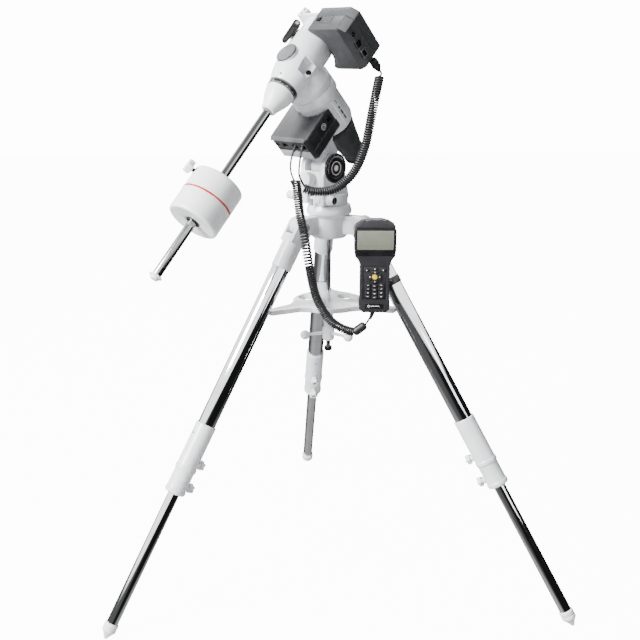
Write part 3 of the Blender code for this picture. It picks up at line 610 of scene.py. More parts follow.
def make_spreader():
    reach = HINGE_RADIUS + (HINGE_HEIGHT - PLATE_TOP) * math.tan(LEG_TILT) - 21.8 / math.cos(LEG_TILT)
    outline = []
    for angle in sorted(LEG_ANGLES):
        spin = math.radians(angle)
        out, side = Vector((math.cos(spin), math.sin(spin))), Vector((-math.sin(spin), math.cos(spin)))
        outline += [tuple(out * r + side * s)
                for r, s in ((100, -22), (reach - 12, -13), (reach, -11), (reach, 11), (reach - 12, 13), (100, 22))]
        outline += arc(0, 0, 88, angle + 28, angle + 92, 24)
    plate = slab(soften(outline, 9, steps=4), PLATE_TOP - 12, PLATE_TOP, 2.2, segments=3)
    plate = fuse(plate, lathe([(0, 700), (18, 700), (20, 703), (20, 728), (0, 728)], 56, edge=1.0))
    for angle in LEG_ANGLES:
        spin = math.radians(angle + 60)
        hole = lathe([(0, 690), (23, 690), (23, 727), (25.4, 732), (25.4, 760), (0, 760)], 56, edge=0)
        plate = carve(plate, moved(hole, shift(56 * math.cos(spin), 56 * math.sin(spin), 0)))
    plate = carve(plate, rod(5.8, 690, 760, 40, 0))
    piece("spreader_casting", plate, "paint", "spreader", TRIPOD, "spreader_plate")

    handle = lathe([(5.8, 626), (12, 626), (15, 630), (15, 656), (12, 660), (12, 699.7), (5.8, 699.7)], 56, True, 1.0)
    for angle in LEG_ANGLES:
        ball = lathe([(0, 10), (4.4, 10), (3.6, 50.6), *[(r, z) for z, r in arc(62, 0, 12, 162, 0, 16)][:-1], (0, 74)],
                32, edge=0)
        handle = fuse(handle, moved(ball, shift(0, 0, 645) @ turn(0, QUARTER, math.radians(angle - 14))))
    piece("spreader_grip", handle, "white", "spreader_nut", TRIPOD, "spreader_handle")


# ---------------------------------------------------------------- head
def make_fork():
    height = PIVOT[2] - 23.8
    fork = lathe([(0, 0), (44.5, 0), (44.5, 26), (42, 28), (0, 28)], 96, edge=1.2)
    cheek = [(-56, 14), (28, 14), (28, 24), (14, 76), *arc(PIVOT[1], PIVOT[2], 36, -8, 188, 36), (-62, 76), (-62, 24)]
    for low in (24.2, -38.0):
        fork = fuse(fork, moved(slab(soften(cheek, 5), low, low + 13.8, 1.8), UPRIGHT_X))
    fork = fuse(fork, box((-26, 26), (-62, -50), (10, 84), 1.5, 2), box((-26, 26), (8, 20), (10, 80), 1.5, 2),
            moved(lathe([(0, 52), (17, 52), (17, 64), (0, 64)], 56, edge=1.5), shift(0, 0, height) @ MINUS_Y))
    for side in (-1, 1):
        fork = fuse(fork, box(sorted((side * 14, side * 36)), (-59, -36), (5, 30), 1.2, 3))
    fork = carve(fork, moved(rod(8.3, -50, 50, 48, 0), shift(*PIVOT) @ ALONG_X),
            moved(rod(5.3, -70, 30, 32, 0), shift(0, 0, height) @ ALONG_Y),
            moved(rod(4.3, -40, 40, 32, 0), shift(0, -PEG_BACK, PEG_RISE) @ ALONG_X),
            box((-14, 14), (-64, -45), (-5, 33), 0, 0))
    piece("fork_casting", fork, "paint", "azimuth_head", AZIMUTH, "azimuth_fork")

    screw = AZIMUTH @ shift(0, -PEG_BACK, PEG_RISE) @ ALONG_X
    right = [(0, 4.8), (2, 4.8), (3.8, 7.8), (3.8, 44.5), (11.5, 44.5), (12, 47), (8.6, 62), (0, 62)]
    right = fuse(lathe(right, 48, edge=0.6), slab(lobed(12.6, 0.8, 12, 8), 44.8, 48.5, 0.8))
    piece("azimuth_grip_right", right, "white", "azimuth_screw_right", screw, "azimuth_knob_right")
    piece("azimuth_slot_right", carve(rod(8.4, 60.5, 62.9, 40, 0.4), box((-9, 9), (-1.1, 1.1), (62, 64), 0, 0)),
          "case_dark", "azimuth_screw_right", screw)
    left = [(0, -88), (9, -88), (10.5, -86), (10.5, -84), (9.6, -83), (10.5, -82), (10.5, -66), (6, -62), (6, -44.5),
            (4, -44.5), (4, -7.8), (2, -4.8), (0, -4.8)]
    piece("azimuth_grip_left", lathe(left, 48, edge=0.5), "white", "azimuth_screw_left", screw, "azimuth_knob_left")
    piece("azimuth_cap_left", band(5.4, 6.6, -89, -86, 40, 0.2), "silver", "azimuth_screw_left", screw)
    bolt = AZIMUTH @ shift(0, 0, height) @ ALONG_Y
    north = [(0, -86), (14.2, -86), (16, -84), (16, -67.8), (5, -67.8), (5, -38), (2, -33.4), (0, -33.4)]
    north = fuse(lathe(north, 56, edge=0.9), slab(lobed(16.3, 0.7, 16, 8), -80, -70, 0.8))
    piece("altitude_grip_north", north, "white", "altitude_screw_north", bolt, "altitude_bolt_north")
    south = [(0, -12.6), (2, -12.6), (5, -8), (5, 27.2), (13, 27.2), (13, 42), (12, 44), (0, 44)]
    south = fuse(lathe(south, 56, edge=0.9), slab(lobed(13.3, 0.6, 14, 8), 29, 39, 0.8))
    piece("altitude_grip_south", south, "white", "altitude_screw_south", bolt, "altitude_bolt_south")


def make_polar_axis():
    housing = [(30, -224), (30, -186), (33, -183), (42, -183), (47, -179), (50, -170), (50, -91), (55, -87),
            (55, -62.3), (40, -62.3), (40, -150), (20, -150), (20, -224)]
    housing = lathe(housing, 96, True, 1.8)
    lug = [(-40, -164), (-40, -181), (-47, -184), (-52, -217), *arc(-97, -225.6, 18, -60, -255, 24)]
    housing = fuse(housing, moved(slab(soften(lug, 4), -23.9, 23.9, 1.5), UPRIGHT_X),
            moved(box((-20, 20), (-9, 9), (-36, 0), 1.2, 3), shift(0, -CROSSING[1], -CROSSING[2]) @ turn(-TAIL)),
            box((44, 52.4), (-11, 9), (-171, -96), 1.0, 3))
    housing = carve(housing, moved(rod(8.3, -50, 50, 48, 0), shift(0, -CROSSING[1], -CROSSING[2]) @ ALONG_X))
    piece("polar_casting", housing, "paint", *ON_POLAR, "polar_housing")
    screws = [moved(rod(1.6, 51.9, 52.8, 20, 0.2), shift(0, -1, z) @ ALONG_X) for z in (-102, -108)]
    piece("housing_screws", together(*screws), "black", *ON_POLAR)

    dashes = [box((52.2, 52.75), (-3.2, 0.6), (z - length, z), 0.1, 0.3) for z,
            length in ((-119, 7), (-130, 14), (-146, 12))]
    piece("housing_mark", together(*dashes), "case_dark", *ON_POLAR)

    # The dial stands on the fork's right cheek: X is its axis
    dial = [(0, -38), (8, -38), (8, 38.3), (34.8, 38.3), (34.8, 42.4), (33.6, 43.4), (24, 43.4), (23, 42.4), (0, 42.4)]
    piece("dial_disc", moved(lathe(dial, 80, edge=0.3), ALONG_X), "black", "altitude_head", ALTITUDE, "latitude_dial")
    ticks = [moved(box((25.5, 31.5 if i % 5 == 0 else 29), (-0.28, 0.28), (43.0, 43.65), 0.1, 0),
            turn(0, 0, math.radians(i * 5)))
            for i in range(17, 50)]
    piece("dial_marks", moved(together(band(14.6, 16.4, 42.0, 43.2, 64, 0.2), *ticks, rod(7.0, 42.0, 43.2, 40, 0.3)),
            ALONG_X), "legend", "altitude_head", ALTITUDE)

    bell = [(30.3, -183.3), (30.3, -224.3), (12, -224.3), (12, -285), (18, -300), (25, -300), (27, -296), (27, -284),
            (29, -262), (35, -230), (41, -200), (43, -194), (43, -183.3)]
    bell = lathe(bell, 80, True, 1.2)
    piece("scope_bell", bell, "case", *ON_POLAR, "polar_scope")
    knurl = [box((26.6, 27.9), (-0.7, 0.7), (-295, -285), 0.2, 0) for _ in range(48)]
    knurl = [moved(k, turn(0, 0, 2 * math.pi * i / 48)) for i, k in enumerate(knurl)]
    rim = band(42.6, 43.8, -187.6, -183.6, 80, 0.3)
    piece("scope_grip", together(rim, *knurl), "black", *ON_POLAR)
    piece("scope_lens", lathe([(0, -292), (11.6, -290), (11.9, -288), (0, -286)], 40, edge=0.4), "lens",
          *ON_POLAR)


def socket(width, height, depth, step=True):
    """A plug opening to cut, its mouth at Z = 0 and its depth below, with a latch notch along +Y."""
    parts = [box((-width / 2, width / 2), (-height / 2, height / 2), (-depth, 6), 0, 0.3)]
    if step:
        parts.append(box((-width / 5, width / 5), (height / 2 - 1, height / 2 + 2.2), (-depth, 6), 0, 0.2))
    return fuse(*parts)


def make_ra_drive():
    x0, x1, y0, y1 = -72.0, 45.0, -125.0, -18.0
    relief = 50.3
    start = math.degrees(math.atan2(y1, -math.sqrt(relief ** 2 - y1 ** 2))) + 360
    end = math.degrees(math.atan2(-math.sqrt(relief ** 2 - x1 ** 2), x1)) + 360
    outline = [(x0, y1), *arc(0, 0, relief, start, end, 40), (x1, y0 + 8), (x1 - 8, y0), (x0 + 8, y0), (x0, y0 + 8)]
    case = slab(outline, -138, -100, 0.9)
    strip = [(y0 - 5, -100 + 5), (y0 - 5, -112), (y0 + 9, -100 + 2), (y0 + 9, -95)]
    case = carve(case, moved(slab(strip, x0 - 5, x1 + 5, 0), UPRIGHT_X),
            box((x1 - 4.5, x1 + 5), (-44, -32), (-127, -117), 0, 0))
    for x in (-61, -32, -1, 24):
        case = carve(case, moved(socket(16, 12, 7), shift(x, y0, -122) @ MINUS_Y))
    scoop = lathe([(0, -104), (52, -104), (56, -99.5), (58, -96), (0, -96)], 72, edge=0)
    case = carve(case, scoop)
    piece("ra_case", case, "case", *ON_POLAR, "ra_motor_case")
    # Near-black boxes at the bottom of the sockets: painted shade of the recesses
    recess_shade_boxes = [box((x - 8.4, x + 8.4), (y0 + 3, y0 + 8), (-129, -114), 0.2, 0) for x in (-61, -32, -1, 24)]
    piece("ra_port_painted_shade", together(*recess_shade_boxes), "hole", *ON_POLAR)
    # A lighter strip over the chamfer along the port edge: painted highlight where the light catches that chamfer
    edge = box((x0 + 0.6, x1 - 8.5), (-4.9, 4.9), (-0.3, 0.5), 0.2, 0.4)
    piece("ra_edge_painted_highlight", moved(edge, shift(0, y0 + 3.5, -103.5) @ turn(math.radians(45))), "light_trim_and_painted_highlight", *ON_POLAR)
    cover = slab(outline, -162, -138.3, 2.2, segments=3)
    piece("ra_cover", cover, "pale", *ON_POLAR, "ra_motor_cover")
    # A dark side panel with the switch, a round emblem and a shallow hatch
    side = [(y0 + 9, -137.5), (y0 + 9, -102), (-58, -102), (-26, -102), (-26, -137.5)]
    panel = moved(slab(side, x1 + 0.1, x1 + 1.1, 0.4, 1.5), UPRIGHT_X)
    panel = carve(panel, box((x1 - 2, x1 + 5), (-45, -31), (-128, -116), 0, 0))
    panel = fuse(panel, box((x1 + 0.6, x1 + 1.7), (-112, -84), (-134, -110), 0.3, 1.5))
    piece("ra_side_panel", panel, "case_dark", *ON_POLAR)
    piece("ra_cover_panel", moved(slab([(y0 + 9, -159.5), (y0 + 9, -138.8), (-21, -138.8), (-21, -159.5)], x1 - 0.4,
            x1 + 0.9, 0.4, 1.5), UPRIGHT_X), "case_dark", *ON_POLAR)
    # A black strip over the corner chamfer: painted shade on that chamfer
    piece("ra_corner_painted_shade", moved(box((-6.6, 6.6), (-0.6, 0.9), (-161, -103), 0.2, 0.4),
            shift(x1 - 4, y0 + 4) @ turn(0, 0, QUARTER / 2)), "black", *ON_POLAR)
    mark = [band(r - 0.45, r + 0.45, 1.0, 1.5) for r in (7.2, 3.4)]
    piece("ra_emblem", moved(together(*mark), shift(x1, -62, -121) @ ALONG_X), "legend", *ON_POLAR)
    rocker = [(-3.96, -3.24), (-3.96, 1.08), (0, 0.54), (3.96, 2.16), (3.96, -2.88), (0, -3.6)]
    rocker = slab([(y * 1.1, x) for x, y in rocker], -4.6, 4.6, 0.35, 0.4)
    piece("ra_rocker", rocker, "hole", "ra_switch", HEAD @ shift(x1, -38, -122), "ra_power_switch")


def make_dec_head():
    flange = lathe([(0, -62), (54.5, -62), (54.5, -46), (51.5, -32), (50, -20), (46, 0), (0, 0)], 96, edge=2.0)
    barrel = lathe([(0, -60), (36.5, -60), (38.5, -52), (41, -45), (45.5, -28), (48, -10), (48, 75), (0, 75)], 96,
            edge=1.4)
    housing = fuse(flange, moved(barrel, ALONG_Y), lathe([(0, 10), (26, 10), (26, 44), (25, 48.5), (0, 48.5)], 64,
            edge=0.8))
    spin = math.radians(-123.5)
    boss = [(42, 52), (50, 52), (65, 68), (65, 88), (47, 88), (47, 74), (42, 74)]
    housing = fuse(housing, moved(slab(soften(boss, 2), -3.7, 8, 0.9), turn(0, spin, 0)))
    # Notched recess on the barrel's right side; the round hole in its lower face is only a thin black disc of painted
    # shade, added below
    notch = [(38.3, 30), (37, 4), (48.6, -6.2), (64, -6.2), (64, 30)]
    housing = carve(housing, moved(slab(notch, -10.5, 27.5, 0), UPRIGHT_Y))
    housing = carve(housing, moved(rod(20, -60, 90, 64, 0), ALONG_Y), moved(rod(40, 38, 90, 64, 0), ALONG_Y))
    piece("dec_casting", housing, "paint", *ON_BARREL, "dec_housing")
    # A thin black disc on the notch's lower face: painted shade standing in for a round hole
    slope = math.atan2(10.2, 11.6)
    piece("notch_hole_painted_shade", moved(rod(6.4, -1.5, 0.25, 40, 0.1), shift(42.8, -11, -1.1) @ turn(0, slope, 0)), "hole",
          *ON_BARREL)
    piece("barrel_screw", moved(rod(2.5, 38.0, 39.7, 24, 0.2), shift(0, -50, 0) @ turn(0, math.radians(17), 0)),
          "black", *ON_BARREL)
    cap = lathe([(0, 46), (23.2, 46), (23.2, 50.2), (22.4, 50.9), (0, 50.9)], 64, edge=0.3)
    piece("polar_cap", cap, "cap", *ON_BARREL)
    piece("polar_cap_rim", band(23.3, 25.2, 46, 49.4, 64, 0.3), "case", *ON_BARREL)

    lever = [*arc(0, 0, 8, 180, 0, 20), (7.5, -46), (4, -52), (-4, -52), (-6.5, -46)]
    pivot = Vector((58 * math.cos(spin), 80, -58 * math.sin(spin)))
    lever = together(slab(lever, -18, -4, 1.2, 1.0), box((-4.6, 5.2), (-46, -14), (-18.8, -17.6), 0.4, 1.5),
            rod(8.6, -20, -4.7, 40, 0.8))
    where = HEAD @ Matrix.Translation(pivot) @ turn(0, spin, 0)
    piece("clamp_lever", lever, "black", "dec_clamp", where, "dec_clamp_lever")
    screw = carve(rod(4.4, -21.4, -19.6, 32, 0.4), slab(circle(2.1, 6), -23, -20.4, 0))
    piece("clamp_screw", screw, "steel", "dec_clamp", where)
    stub = slab(circle(6.5, 6), 0, 12, 0.8)
    piece("clamp_stub", moved(stub, shift(-26, 62, 40) @ turn(0, math.radians(-34), 0)), "silver", *ON_BARREL)


def make_dec_drive():
    x0, x1, z0, z1 = 46.0, 147.0, -50.0, 70.0
    low, split, top = 47.0, 88.0, 114.0
    outline = [(x0, z0), (x1 - 6, z0), (x1, z0 + 6), (x1, z1 - 14), (x1 - 17, z1), (x0, z1)]

    def bore():
        return moved(rod(48.3, 20, 130, 96, 0), ALONG_Y)

    case = moved(slab(outline, -split, -low, 0.8), UPRIGHT_Y)
    wedge = [(x1 + 5, low - 5), (x1 + 5, low + 19), (x1 - 21, low - 5)]
    case = carve(case, bore(), slab(wedge, z0 - 20, z1 + 20, 0), box((53.6, 66.4), (72, 84), (z1 - 4.5, z1 + 5), 0, 0))
    # A hollow hugs the barrel in the underside
    sweep = lathe([(48, 30), (86, 30), (86, 47), *arc(86, 72, 25, -92, -150, 10), (58, 66), (48, 67)], 96, True, 0)
    case = carve(case, moved(sweep, ALONG_Y))
    side = shift(x1, 66, 0) @ ALONG_X
    case = carve(case, moved(rod(5.4, -6, 4, 32, 0), side @ shift(-36, 0, 0)),
            moved(socket(16, 12.5, 8), side @ shift(-9.4, 0, 0)),
            moved(socket(15, 12, 8, False), side @ shift(17.8, 0, 0)))
    piece("dec_case", case, "case", *ON_BARREL, "dec_motor_case")
    # Near-black boxes and a disc at the bottom of the sockets and the jack: painted shade of the recesses
    recess_shade_boxes = [moved(box((-8.6, 8.6), (-9, 9), (-8.4, -3.4), 0.2, 0), side @ shift(x, 0, 0)) for x in (-9.4, 17.8)]
    recess_shade_boxes.append(moved(rod(5.7, -6.4, -4.4, 24, 0.1), side @ shift(-36, 0, 0)))
    piece("dec_port_painted_shade", together(*recess_shade_boxes), "hole", *ON_BARREL)
    piece("dec_jack_pin", moved(rod(1.1, -6, -0.6, 20, 0.3), side @ shift(-36, 0, 0)), "steel", *ON_BARREL)
    frame_ring = carve(box((-10.4, 10.4), (-8.6, 8.6), (-0.2, 0.9), 0.3, 1),
            box((-7.6, 7.6), (-6.1, 6.1), (-2, 3), 0, 0.4))
    piece("dec_port_frame", moved(frame_ring, side @ shift(17.8, 0, 0)), "light_trim_and_painted_highlight", *ON_BARREL)
    cover = carve(moved(slab(outline, -top, -split - 0.3, 1.0), UPRIGHT_Y), bore())
    piece("dec_cover", cover, "case", *ON_BARREL, "dec_motor_cover")
    # Lighter strips over the sloped top edge of the case and cover: painted highlight on that slope
    for name, span in (("dec_edge_case_painted_highlight", (51, 86.6)), ("dec_edge_cover_painted_highlight", (89.4, 113.0))):
        slope = box((-10.2, 10.2), (span[0], span[1]), (-0.4, 0.45), 0.2, 0.6)
        piece(name, moved(slope, shift(x1 - 8.5, 0, z1 - 7) @ turn(0, math.atan2(14, 17), 0)), "light_trim_and_painted_highlight", *ON_BARREL)
    mark = [band(r - 0.45, r + 0.45, -0.1, 0.4) for r in (9.2, 4.4)]
    piece("dec_emblem", moved(together(*mark), shift(86, 78, z1)), "light_trim_and_painted_highlight", *ON_BARREL)
    hatch = carve(box((50, 100), (66, 87), (z1 - 0.1, z1 + 0.25), 0.1, 2),
            box((51, 99), (67, 86), (z1 - 1, z1 + 2), 0, 2))
    piece("dec_panel_line", hatch, "case_dark", *ON_BARREL)
    rocker = [(-5.2, -3.2), (-5.2, 1.1), (0, 0.6), (5.2, 2.2), (5.2, -2.8), (0, -3.6)]
    rocker = slab(soften(rocker, 0.4), -5.2, 5.2, 0.35)
    piece("dec_rocker", rocker, "hole", "dec_switch", HEAD @ shift(60, 78, z1) @ UPRIGHT_Y, "dec_power_switch")


def make_saddle():
    plate = [(-47, 114.3), (47, 114.3), (42, 135), (22, 130), (27, 121), (-27, 121), (-21, 133), (-42, 142)]
    saddle = moved(slab(soften(plate, 1.6), -50, 50, 1.6), UPRIGHT_Y)
    saddle = fuse(saddle, lathe([(0, 75.3), (42, 75.3), (44, 78), (44, 116), (0, 116)], 80, edge=0.8))
    saddle = carve(saddle, moved(rod(4.2, -60, -24, 32, 0), shift(0, -36, 128) @ ALONG_X),
            moved(rod(4.2, -60, -24, 32, 0), shift(0, 36, 128) @ ALONG_X),
            moved(rod(3.0, -8, 6, 28, 0), shift(-34, -50, 120) @ MINUS_Y),
            moved(rod(4.4, -6, 8, 28, 0), shift(-33, -50, 133) @ MINUS_Y))
    piece("saddle_casting", saddle, "paint", *ON_SHAFT, "saddle")
    plugs = [moved(rod(3.9, -44, -40, 32, 0.4), shift(0, y, 128) @ ALONG_X) for y in (-36, 36)]
    piece("saddle_screws", together(*plugs), "steel", *ON_SHAFT)


def make_counterweight():
    cone = [(0, -100), (8.3, -100), (8.3, -128), (15.5, -128), (17.5, -125), (19.5, -117), (27, -100), (32, -86),
            (33.6, -74.5), (34, -74), (34, -60.3), (0, -60.3)]
    piece("cone_casting", lathe(cone, 96, edge=1.0), "white", *ON_SHAFT, "shaft_cone")
    circle_ring = band(33.8, 35.2, -73.4, -63.6, 96, 0.3)
    piece("setting_circle", circle_ring, "black", *ON_SHAFT)
    piece("setting_rim", band(33.8, 35.8, -63.4, -60.6, 96, 0.4), "cap", *ON_SHAFT)
    marks = [moved(box((34.8, 35.42), (-0.32, 0.32), (-72.6, -67.5 if i % 5 == 0 else -70), 0.1, 0),
            turn(0, 0, 2 * math.pi * i / 60)) for i in range(60)]
    piece("setting_marks", together(*marks), "legend", *ON_SHAFT)
    bar = [(0, -565), (4.3, -565), (4.3, -583), (10, -583), (10, -128.3), (8, -128.3), (8, -100.3), (0, -100.3)]
    piece("weight_bar", lathe(bar, 56, edge=0.5), "bar", *ON_SHAFT, "counterweight_bar")
    screw = [(0, -593), (8, -593), (10, -591), (10, -587), (13, -587), (15, -586), (15, -584), (14.6, -583.3),
            (4, -583.3), (4, -568), (0, -568)]
    piece("bar_cap", lathe(screw, 48, edge=0.4), "white", "bar_screw", DECLINATION, "bar_end_screw")
    weight = [(10.3, -437), (16, -437), (18, -440.5), (50, -443), (55, -443), (58, -441), (59, -437), (59, -337),
            (57.6, -333.5), (54, -332), (10.3, -332)]
    lean = math.atan2(-0.48, 0.88)
    spin = shift(0, 0, -346) @ turn(QUARTER, 0, lean)
    weight = carve(lathe(weight, 112, True, 1.6), moved(rod(5.2, 5, 70, 40, 0), spin))
    piece("weight_casting", weight, "white", *ON_WEIGHT, "counterweight")
    piece("weight_ring", band(58.7, 59.4, -388.4, -384, 112, 0.15), "ring_red", *ON_WEIGHT)
    piece("weight_bush", band(10.4, 15.4, -442, -437, 48, 0.5), "black", *ON_WEIGHT)
    knob = fuse(slab(lobed(16.5, 2.6, 5), 65.5, 80, 2.6, segments=3), rod(6, 64, 68, 32, 0.5))
    knob = carve(knob, rod(5.5, 78.4, 83, 32, 0))
    piece("weight_knob", knob, "white", "counterweight_screw", DECLINATION @ spin, "counterweight_knob")
    stud = [(0, 34)]
    for i in range(20):
        stud += [(4.2, 36 + i * 1.5), (4.9, 36.75 + i * 1.5)]
    stud = lathe([*stud, (4.2, 66), (0, 66)], 32, edge=0)
    piece("weight_stud", stud, "black", "counterweight_screw", DECLINATION @ spin)


# ---------------------------------------------------------------- handset
def make_handset():
    def outline():
        half = [(26, -108), (35, -100), (36, -82), (34, -70), (34, 4), (38, 16), (46, 26), (48, 40), (48, 84), (43, 99),
                (30, 107), (14, 111)]
        return soften(half + [(-x, z) for x, z in reversed(half)], 4, steps=4)

    def face_plate(points, corner, low, high, edge, segments=2):
        return moved(slab(soften(points, corner), low, high, edge, segments=segments), UPRIGHT_Y)

    front = moved(slab(outline(), 0, 17, 3.2, segments=4), UPRIGHT_Y)
    front = carve(front, box((-28, 28), (-20, -14.5), (-76, 4), 0, 4), box((-45, 45), (-20, -14.8), (27, 91.5), 0, 4))
    piece("handset_top_shell", front, "shell", *ON_HANDSET, "handset_front")
    back = moved(slab(outline(), -17, -0.3, 3.2, segments=4), UPRIGHT_Y)
    piece("handset_back_shell", back, "shell", *ON_HANDSET, "handset_back")
    # Lens frame, screen and the plate under it
    piece("screen_bezel", face_plate([(-44.5, 27.4), (44.5, 27.4), (44.5, 91), (-44.5, 91)], 4, 15.0, 17.9, 0.8, 3),
          "bezel", *ON_HANDSET)
    piece("screen_lens", face_plate([(-41.5, 42), (41.5, 42), (41.5, 86.6), (-41.5, 86.6)], 0.8, 17.6, 18.15, 0.2),
          "glass", *ON_HANDSET)
    brow = [(-44, 91.4), (44, 91.4), (40, 99), (27, 106), (12, 109.5), (-12, 109.5), (-27, 106), (-40, 99)]
    piece("screen_brow", face_plate(brow, 4, 15.5, 18.2, 1.0, 3), "shell", *ON_HANDSET)
    horns = []
    for side in (-1, 1):
        horn = [(side * 46, 96), (side * 24, 112), (side * 23, 106.5), (side * 40, 92)]
        horns.append(face_plate(horn, 0.8, 3, 17.4, 0.8))
    piece("handset_horns", together(*horns), "shell", *ON_HANDSET)

    mat = box((-27.5, 27.5), (-15.2, -11), (-75.5, 3.5), 0.5, 3.5)
    tops = [box((x - half, x + half), (-18.4, -14), (z - 3.5, z + 3.5), 0.9, 1.6)
            for x, z, half in ((0, -3, 6), (-19, -5, 5.5), (19, -5, 5.5))]
    for k in range(4):
        wedge = arc(0, 0, 15, 54, 126, 10) + arc(0, 0, 7.5, 126, 54, 8)
        tops.append(moved(slab(soften(wedge, 1.2), 14, 18.4, 0.9),
                UPRIGHT_Y @ shift(0, -22, 0) @ turn(0, 0, k * QUARTER)))
    for row in range(4):
        for x in (-15.5, 0, 15.5):
            z = -43.5 - row * 9 + (1.8 if x else 0)
            tops.append(box((x - 6.2, x + 6.2), (-18.4, -14), (z - 3.6, z + 3.6), 0.9, 1.8))
    piece("handset_keypad", together(mat, *tops), "key", "keys", HANDSET, "handset_keys")
    piece("key_centre", moved(lathe([(0, 13.5), (6.0, 13.5), (6.0, 18.4), (5.2, 19.4), (0, 19.8)], 40, edge=0.3),
            UPRIGHT_Y @ shift(0, -22, 0)), "yellow", "keys", HANDSET)
    dots = [moved(rod(1.3, 18.2, 18.6, 20, 0.1), UPRIGHT_Y @ shift(x, z, 0))
            for x, z in ((0, -3), (-19, -6), (19, -6), (0, -11), (0, -33), (-11.2, -22), (11.2, -22))]
    bars = [box((x - 1.9, x + 1.9), (-18.65, -18.2), (-44.1 - row * 9 + (1.8 if x else 0),
            -42.9 - row * 9 + (1.8 if x else 0)), 0.1, 0.3)
            for row in range(4) for x in (-15.5, 0, 15.5)]
    piece("key_marks", together(*dots, *bars), "legend", "keys", HANDSET)
    piece("handset_plate", face_plate([(-21, -98), (21, -98), (21, -86), (-21, -86)], 1, 16.6, 17.5, 0.3), "bezel",
          *ON_HANDSET)
    mark = [box((-8, 12), (-17.9, -17.2), (-92.7, -91.3), 0.1, 0.3), moved(band(1.7, 3, 17.2, 17.9, 32),
            UPRIGHT_Y @ shift(-13, -92, 0))]
    piece("handset_mark", together(*mark), "legend", *ON_HANDSET)
    grips = []
    for side in (-1, 1):
        for k in range(7):
            z = -78 + k * 12
            grips.append(box(sorted((side * 33.4, side * 34.7)), (-14, 12), (z, z + 3), 0.4, 0.5))
    piece("handset_grips", together(*grips), "black", *ON_HANDSET)

    leg = LEGS[1]
    clip = band(21.8, 23.6, -160, -142, 56, 0.5)
    arm = box((-13, 16), (0, 26), (-11, 11), 1.2, 2)
    middle = TRIPOD @ Matrix.Translation(HANDSET_AT + Vector((26, 17.3, -50)))
    holder = fuse(moved(clip, leg), moved(arm, middle))
    holder = carve(holder, moved(rod(21.8, -200, -100, 56, 0), leg))
    piece("handset_clip", holder, "black", "leg_2", Matrix.Identity(4), "handset_holder")


# ---------------------------------------------------------------- the rest
def dress_hidden_nodes():
    for name, mat in (("ra_shaft", "steel"), ("ra_worm_wheel", "brass"), ("dec_shaft", "steel"),
            ("dec_worm_wheel", "brass")):
        NODES[name].data.materials.clear()
        NODES[name].data.materials.append(MATS[mat])


def make_stage():
    bm = bmesh.new()
    bmesh.ops.create_grid(bm, x_segments=8, y_segments=8, size=9.0)
    mesh = bpy.data.meshes.new("floor")
    bm.to_mesh(mesh)
    bm.free()
    mat = finish("studio_floor", (0.42, 0.42, 0.42), (0.44, 0.44, 0.44), (0.85, 0.9), grain=(20, 0.0), cloud=1)
    tree = mat.node_tree
    glow, lit = tree.nodes.new("ShaderNodeEmission"), tree.nodes.new("ShaderNodeMixShader")
    glow.inputs["Strength"].default_value = FLOOR_GLOW
    path = tree.nodes.new("ShaderNodeLightPath")
    share = tree.nodes.new("ShaderNodeMath")
    share.operation = "MULTIPLY"
    share.inputs[1].default_value = GLOW_SHARE
    tree.links.new(path.outputs["Is Camera Ray"], share.inputs[0])
    tree.links.new(share.outputs["Value"], lit.inputs["Fac"])
    tree.links.new(tree.nodes["Principled BSDF"].outputs["BSDF"], lit.inputs[1])
    tree.links.new(glow.outputs["Emission"], lit.inputs[2])
    tree.links.new(lit.outputs["Shader"], tree.nodes["Material Output"].inputs["Surface"])
    mesh.materials.append(mat)
    floor = bpy.data.objects.new("floor", mesh)
    link(floor)
    floor.visible_glossy = False


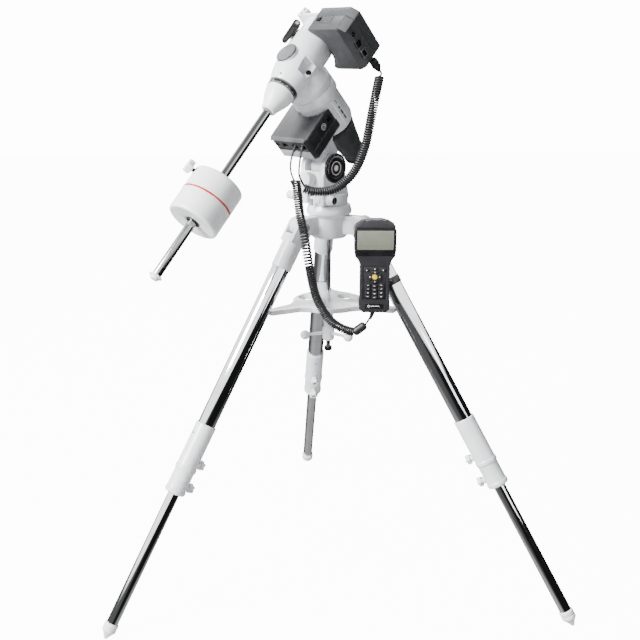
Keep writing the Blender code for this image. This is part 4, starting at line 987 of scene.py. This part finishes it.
def make_light():
    world = bpy.data.worlds.new("studio")
    bpy.context.scene.world = world
    world.use_nodes = True
    tree = world.node_tree
    back = tree.nodes["Background"]
    back.inputs["Color"].default_value = (1, 1, 1, 1)
    place, split = tree.nodes.new("ShaderNodeTexCoord"), tree.nodes.new("ShaderNodeSeparateXYZ")
    tree.links.new(place.outputs["Generated"], split.inputs["Vector"])

    def shade(value, low, high, start, end):
        node = tree.nodes.new("ShaderNodeMapRange")
        node.interpolation_type = "SMOOTHSTEP"
        for key, number in (("From Min", low), ("From Max", high), ("To Min", start), ("To Max", end)):
            node.inputs[key].default_value = number
        tree.links.new(value, node.inputs["Value"])
        return node.outputs["Result"]

    def math_node(operation, *values):
        node = tree.nodes.new("ShaderNodeMath")
        node.operation = operation
        for socket_in, value in zip(node.inputs, values):
            if isinstance(value, float):
                socket_in.default_value = value
            else:
                tree.links.new(value, socket_in)
        return node.outputs["Value"]

    def mix(share, a, b):
        node = tree.nodes.new("ShaderNodeMix")
        tree.links.new(share, node.inputs["Factor"])
        for key, value in (("A", a), ("B", b)):
            if isinstance(value, float):
                node.inputs[key].default_value = value
            else:
                tree.links.new(value, node.inputs[key])
        return node.outputs["Result"]

    # Soft light falls off from left to right. Mirrors see a bright band of softboxes above a dark
    # horizon, a dimmer ceiling, and a floor that is pale underfoot and to the left.
    x, z = split.outputs["X"], split.outputs["Z"]
    soft = shade(x, 0.9, -0.9, 0.14, 1.0)
    band = shade(math_node("MULTIPLY_ADD", x, -0.15, z), 0.15, 0.25, 0.0, 2.8)
    ceiling = shade(z, 0.66, 0.84, 0.0, -2.3)
    ground = math_node("ADD", shade(z, -0.55, -0.85, 0.012, 0.45), shade(x, 0.1, -0.4, 0.0, 0.11))
    mirror = math_node("ADD", math_node("ADD", band, ceiling), ground)
    path = tree.nodes.new("ShaderNodeLightPath")
    strength = mix(path.outputs["Is Glossy Ray"], soft, mirror)
    strength = mix(path.outputs["Is Camera Ray"], strength, BACKDROP)
    tree.links.new(strength, back.inputs["Strength"])

    for name, at, size, power, tint in (("key", (-2.8, -2.2, 3.0), 1.6, 820, (1, 0.995, 0.99)),
            ("fill", (2.8, -2.4, 1.6), 1.4, 24, (0.96, 0.98, 1)), ("rim", (-0.6, 2.6, 3.0), 1.8, 110, (1, 1, 1))):
        data = bpy.data.lights.new(name, "AREA")
        data.energy, data.size, data.color = power, size, tint
        light = bpy.data.objects.new(name, data)
        link(light)
        light.location = at
        light.rotation_euler = (Vector((0, 0, 0.8)) - Vector(at)).to_track_quat("-Z", "Y").to_euler()


make_camera()
make_cords()
make_hub()
for index, leg_frame in enumerate(LEGS):
    make_leg(index + 1, leg_frame)
make_spreader()
make_fork()
make_polar_axis()
make_ra_drive()
make_dec_head()
make_dec_drive()
make_saddle()
make_counterweight()
make_handset()
dress_hidden_nodes()
make_stage()
make_light()
